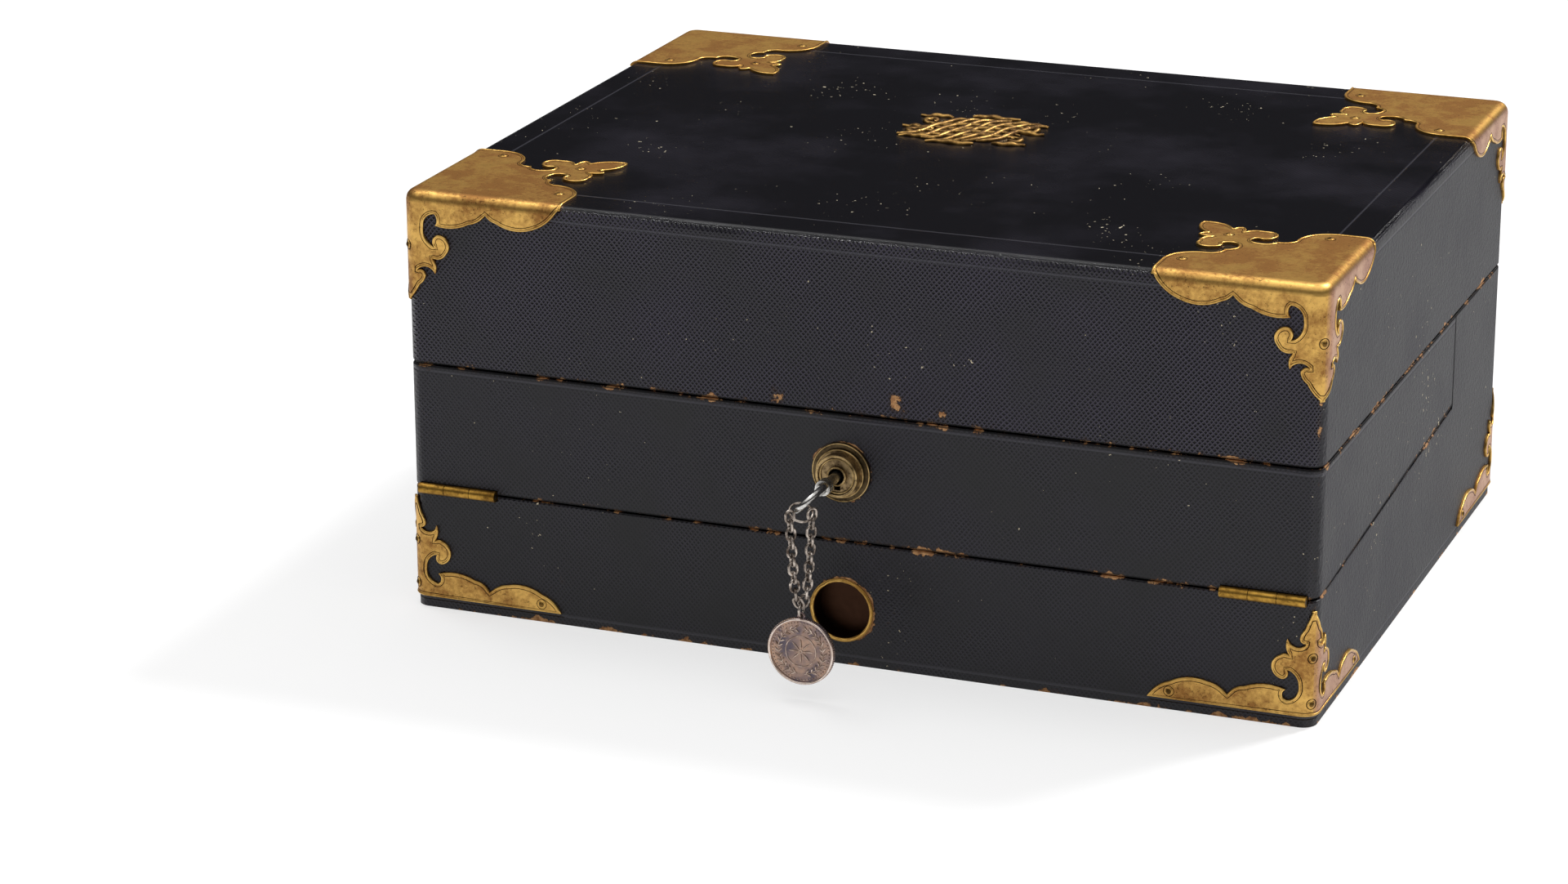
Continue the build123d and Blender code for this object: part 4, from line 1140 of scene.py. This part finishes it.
@dataclass
class Lock:
    """Turned rings on the lock's face and on the rim of the recess below it, in millimetres.

    A face ring is given by its radius and its depth behind the face, and a rim also by its bead.
    """

    ring: float = 0.32
    ring_sink: float = 0.12
    rings: tuple[tuple[float, float], ...] = ((7.0, 0.1), (5.9, 0.55), (3.1, 0.1))
    flange_rims: tuple[tuple[float, float, float], ...] = ((9.9, -1.05, 0.26), (8.15, -2.2, 0.3))
    recess_rim: tuple[float, float, float] = (10.4, 0.1, 0.42)
    recess_steps: int = 140
    recess_wear: float = 0.3
    wear_size: float = 1.8

    def build(self, brass: Material, gilt: Material) -> None:
        """Make the rings.

        Args:
            brass: Finish of the lock's face.
            gilt: Finish of the bright rims.
        """
        low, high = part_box("lock_escutcheon")
        centre = Vector(((low.x + high.x) / 2, low.y, (low.z + high.z) / 2))
        parts = [turned(half_round(r * MM, (d + self.ring_sink) * MM, self.ring * MM), centre)
                 for r, d in self.rings]
        finish_piece("lock_face_rings", join(parts), brass, "root")
        flange = Vector((centre.x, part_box("section_leather")[0].y, centre.z))
        rims = [turned(half_round(r * MM, d * MM, w * MM), flange) for r, d, w in self.flange_rims]
        finish_piece("lock_flange_rims", join(rims), brass, "root")
        low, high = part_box("recess_cup")
        hole = Vector(((low.x + high.x) / 2, low.y, (low.z + high.z) / 2))
        rim = turned(half_round(*(size * MM for size in self.recess_rim)), hole, self.recess_steps)
        for vertex in rim.vertices:
            worn = noise.noise(vertex.co * per_mm(self.wear_size)) * self.recess_wear * MM
            vertex.co += (vertex.co - hole).normalized() * worn
        finish_piece("recess_rim", rim, gilt, "root")


@dataclass
class Token:
    """Struck relief on both faces of the round token: beads, a laurel wreath and a rosette.

    Its own sizes are in millimetres and degrees.
    """

    beads: int = 56
    leaf_pairs: int = 12
    petals: int = 8
    milling: int = 96
    bead_ring: float = 9.9
    wreath_ring: float = 7.9
    leaf_spread: float = 1.35
    leaf_turn: float = 11.0
    leaves_from: float = 14.0
    leaves_arc: float = 150.0
    stem_from: float = 10.0
    stem_arc: float = 156.0
    stem_steps: int = 24
    petal_steps: tuple[float, ...] = (0.7, 1.6, 2.6, 3.4, 4.2)
    inner_rings: tuple[float, float] = (0.5, 5.3)
    relief: float = 0.34
    relief_sink: float = 0.16
    rim_bead: float = 0.38
    rim_inset: float = 0.45
    reed: float = 0.16

    def __post_init__(self) -> None:
        """Read the token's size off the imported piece."""
        low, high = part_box("token")
        self.radius = (high.x - low.x) / 2
        self.half = (high.y - low.y) / 2
        self.centre = Vector(((low.x + high.x) / 2, (low.y + high.y) / 2, low.z + self.radius))

    def spot(self, angle: float, radius: float, out: float) -> Vector:
        """Point on a face of the token.

        Args:
            angle: Angle from its right, in degrees.
            radius: Distance from its middle, in millimetres.
            out: Distance along the box's depth from its middle, in metres.

        Returns:
            The point.
        """
        turn = math.radians(angle)
        return self.centre + Vector((radius * MM * math.cos(turn), out, radius * MM * math.sin(turn)))

    def build(self, silver: Material, worn: Material) -> None:
        """Make the relief and the milled edge.

        Args:
            silver: Finish of the struck faces.
            worn: Finish of the edge, which is rubbed bright.
        """
        lines, widths = [], []
        leaf_shape = [0.2, 0.8, 1.0, 0.75, 0.15]
        for face in (-1, 1):
            out = face * (self.half - self.relief_sink * MM)
            for i in range(self.beads):
                angle = 360 * i / self.beads
                lines.append([self.spot(angle + step, self.bead_ring, out) for step in (-1.2, 0, 1.2)])
                widths.append([0.5, 0.85, 0.5])
            for branch in (1, -1):
                for i in range(self.leaf_pairs):
                    angle = -90 + branch * (self.leaves_from + self.leaves_arc * i / (self.leaf_pairs - 1))
                    base = self.spot(angle, self.wreath_ring, out)
                    for side in (1, -1):
                        tip = self.spot(angle + branch * self.leaf_turn,
                                        self.wreath_ring + side * self.leaf_spread, out)
                        lines.append([base.lerp(tip, t) for t in (0, 0.25, 0.5, 0.75, 1)])
                        widths.append(leaf_shape)
                stem = [self.spot(-90 + branch * (self.stem_from + self.stem_arc * i / self.stem_steps),
                                  self.wreath_ring, out) for i in range(self.stem_steps + 1)]
                lines.append(stem)
                widths.append([0.45] * len(stem))
            for i in range(self.petals):
                lines.append([self.spot(360 / self.petals * i, r, out) for r in self.petal_steps])
                widths.append(leaf_shape)
            for ring in self.inner_rings:
                circle = [self.spot(15 * i, ring, out) for i in range(25)]
                lines.append(circle)
                widths.append([0.5] * len(circle))
        relief = wires(lines, self.relief * MM, False, widths, 1)
        finish_piece("token_relief", relief, silver, "token")
        reeds = [[self.spot(360 * i / self.milling, self.radius / MM, side * (self.half - 0.3 * MM))
                  for side in (-1, 1)] for i in range(self.milling)]
        rims = [turned(half_round(self.radius - self.rim_inset * MM, side * (self.half - 0.04 * MM),
                                  self.rim_bead * MM), self.centre) for side in (-1, 1)]
        rim = join([wires(reeds, self.reed * MM, False, None, 1), *rims])
        finish_piece("token_milled_rim", rim, worn, "token")


@dataclass
class Studio:
    """Pale floor, soft light and the camera."""

    lens: float = 103.15
    eye: tuple[float, float, float] = (0.49394, -1.4348, 0.5499)
    right: tuple[float, float, float] = (0.93066, 0.36588, -0.00354)
    down: tuple[float, float, float] = (0.1137, -0.2984, -0.9477)
    ahead: tuple[float, float, float] = (-0.34778, 0.88154, -0.31928)
    floor_size: float = 30.0
    sky: float = 1.3
    dark: float = 0.02
    lamp_bearing: float = 33.0
    lamp_height: float = 48.0
    lamp_power: float = 2.4
    lamp_spread: float = 11.0
    overhead: tuple[float, float, float] = (-0.35, 0.16, 0.92)
    overhead_power: float = 0.45
    overhead_spread: float = 14.0
    paper: str = "#f0f0f0"
    paper_seen: str = "#a8a8a8"
    paper_glow: float = 0.62

    def build(self) -> None:
        """Lay the floor, light the scene and set up the camera."""
        self._floor()
        self._light()
        camera = bpy.data.objects.new("camera", bpy.data.cameras.new("camera"))
        bpy.context.scene.collection.objects.link(camera)
        camera.data.lens = self.lens
        columns = (Vector(self.right), -Vector(self.down), -Vector(self.ahead))
        turn = Matrix([[column[i] for column in columns] for i in range(3)])
        camera.matrix_world = Matrix.Translation(self.eye) @ turn.to_4x4()
        bpy.context.scene.camera = camera
        bpy.context.scene.view_settings.view_transform = "Standard"

    def _floor(self) -> None:
        """Floor of matt white paper, greyer and glowing where the camera and the gloss see it."""
        mesh = bpy.data.meshes.new("floor")
        reach = self.floor_size / 2
        corners = [(-reach, -reach, 0), (reach, -reach, 0), (reach, reach, 0), (-reach, reach, 0)]
        mesh.from_pydata([Vector(c) for c in corners], [], [(0, 1, 2, 3)])
        material, tree, shader = blank_material("matt white paper", Roughness=0.9, Specular_IOR_Level=0.1,
                                                Emission_Color=(1, 1, 1, 1))
        ray = add(tree, "LightPath").outputs
        seen = add(tree, "Math", ray["Is Camera Ray"], ray["Is Glossy Ray"], operation="MAXIMUM")
        seen = add(tree, "Math", seen, ray["Is Transmission Ray"], operation="MAXIMUM")
        paper = add(tree, "MixRGB", seen, tint(self.paper), tint(self.paper_seen))
        glow = add(tree, "Math", seen, self.paper_glow, operation="MULTIPLY")
        feed(shader, {"Base Color": paper, "Emission Strength": glow})
        mesh.materials.append(material)
        floor = bpy.data.objects.new("floor", mesh)
        bpy.context.scene.collection.objects.link(floor)

    def _light(self) -> None:
        """Wide soft light overhead, darker low down, and one lamp behind on the right."""
        world = bpy.data.worlds.new("soft light")
        world.use_nodes = True
        tree = world.node_tree
        way = add(tree, "TexCoord").outputs["Generated"]
        _, _, up = add(tree, "SeparateXYZ", way).outputs
        bright = add(tree, "MapRange", up, 0.5, 0.85, self.dark, self.sky, interpolation_type="SMOOTHSTEP")
        feed(tree.nodes["Background"], {"Strength": bright, "Color": (1, 1, 1, 1)})
        bpy.context.scene.world = world
        bearing, rise = math.radians(self.lamp_bearing), math.radians(self.lamp_height)
        level = math.cos(rise)
        toward = Vector((math.sin(bearing) * level, math.cos(bearing) * level, math.sin(rise)))
        self._lamp("key lamp", toward, self.lamp_power, self.lamp_spread)
        self._lamp("overhead lamp", Vector(self.overhead), self.overhead_power, self.overhead_spread)

    @staticmethod
    def _lamp(name: str, toward: Vector, power: float, spread: float) -> None:
        """Hang one far lamp.

        Args:
            name: Lamp's name.
            toward: Direction towards it.
            power: Its strength.
            spread: How wide it looks, in degrees.
        """
        lamp = bpy.data.objects.new(name, bpy.data.lights.new(name, "SUN"))
        lamp.data.energy = power
        lamp.data.angle = math.radians(spread)
        lamp.rotation_euler = toward.to_track_quat("Z", "Y").to_euler()
        bpy.context.scene.collection.objects.link(lamp)


def dress_fittings(case: Case) -> None:
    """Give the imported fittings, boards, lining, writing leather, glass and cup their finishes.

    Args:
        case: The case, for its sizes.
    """
    # Gilding rubbed thin by handling, warm and bright, browned in clouds, with painted light turning its
    # sides pink
    dress(["lid_corners", "base_corners"], Brass("gilt brass corners", side_light_share=0.75).material())
    # Stamped heads full of old polish, which read as dark dots
    nails = Brass("stamped brass nail heads", bright="#80602f", patina="#352412").material()
    dress(["lid_corner_nails", "base_corner_nails"], nails)
    # Drawn brass, yellower than the corners, since it was never gilt
    hinge = Brass("drawn brass hinges", bright="#c69a45", patina="#7c5a26", roughness=0.3).material()
    dress(["rear_hinge_lid_leaves", "rear_hinge_base_leaves", "front_hinge_base_leaves",
           "front_hinge_section_leaves", "link_plate"], hinge)
    # Turned, polished and kept clean inside the closed box
    fitting = Brass("polished brass fittings", bright="#d0a452", patina="#a8803c", pit_amount=0.1,
                    roughness=0.22, dents=0.1).material()
    dress([f"{side}_inkwell_{part}" for part in ("collar", "cap") for side in ("left", "right")], fitting)
    # Turned brass gone dull and grey, with painted shade darkening its steps nearest the leather
    lock = Brass("dull turned lock brass", bright="#bba176", patina="#6b5840", pit="#1d1711",
                 patina_size=4.0, pit_amount=0.7, step_shade_from=case.front - 2.6 * MM).material()
    dress(["lock_escutcheon", "lock_case"], lock)
    # Turned steel, grey and softly bright
    steel = Silver("bright turned steel", clean="#a9a7a4", tarnish="#6d6964", roughness=0.25).material()
    dress(["rear_hinge_pins", "front_hinge_pins", "inkwell_cap_pins", "lock_drill_pin", "lock_bolt"], steel)
    # The key is polished by use, the brightest metal on the box
    key = Silver("polished key steel", clean="#e6e5e2", tarnish="#8d8a86", roughness=0.16, blotch=4.0,
                 bite=0.1)
    dress(["key"], key.material())
    # Drawn wire, bright in places and brown with tarnish in blotches
    chain = Silver("tarnished drawn silver wire", clean="#d6cabf", tarnish="#54473e")
    dress(["chain_links", "chain_rings"], chain.material())
    wood = Walnut().material()
    boards = [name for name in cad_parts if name.endswith("_board")]
    dress(boards + ["base_partition", "lower_flap_ledges", "upper_flap_ledges", "compartment_dividers",
                    "inkwell_risers", "pen_tray_ledges", "pen_tray", "lower_writing_flap",
                    "upper_writing_flap"], wood)
    dress(["lid_lining"], WateredSilk().material())
    for name in ("lower_writing_leather", "upper_writing_leather"):
        dress([name], WritingLeather().material(*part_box(name)))
    dress(["left_inkwell_glass", "right_inkwell_glass"], PressedGlass().material())
    cup_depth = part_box("recess_cup")[1].y - case.front
    dress(["recess_cup"], ShadedRecess().material(case.front, cup_depth))


def main() -> None:
    """Build the looks in order: leather, fittings, corners, mount, lock, token, studio."""
    logging.basicConfig(level=logging.INFO, format="%(name)s: %(message)s")
    case = Case()
    case.dress()
    dress_fittings(case)
    # Raised edges keep bright gilding, and the lines cut beside them are full of old polish
    rim = Brass("rubbed gilt brass rim", bright="#e0b767", patina="#b98b45", pit_amount=0.35,
                roughness=0.26).material()
    shade_and_dirt = Brass("engraved brass full of old polish", bright="#3a2915", patina="#1d140b",
                 roughness=0.6).material()
    CornerEdging(case, "lid_corners", "lid").build(rim, shade_and_dirt)
    CornerEdging(case, "base_corners", "root").build(rim, shade_and_dirt)
    # Cast, with brown patina lying in small clouds where no hand polished it
    mount = Brass("cast gilt brass mount", bright="#a98449", patina="#604628", roughness=0.32,
                  patina_size=5.0)
    ScrollMount().build(mount.material())
    # The rings stand proud of the lock's face and are rubbed brighter than it
    ring = Brass("rubbed turned lock brass", bright="#cdb07a", patina="#7d6640", roughness=0.28,
                 patina_size=4.0)
    Lock().build(ring.material(), rim)
    # A struck piece: matt and toned in its field, warmer and brighter on its relief and rim
    struck = Silver("struck silver", clean="#c09f88", tarnish="#736a74", roughness=0.4, blotch=8.0)
    dress(["token"], struck.material())
    edge = Silver("rubbed silver rim", clean="#f6e8de", tarnish="#d2bcae", roughness=0.2)
    relief = Silver("struck silver rubbed on its high points", clean="#e6d2c4", tarnish="#9c8272",
                    roughness=0.3)
    Token().build(relief.material(), edge.material())
    Studio().build()


if __name__ == "__main__":
    main()
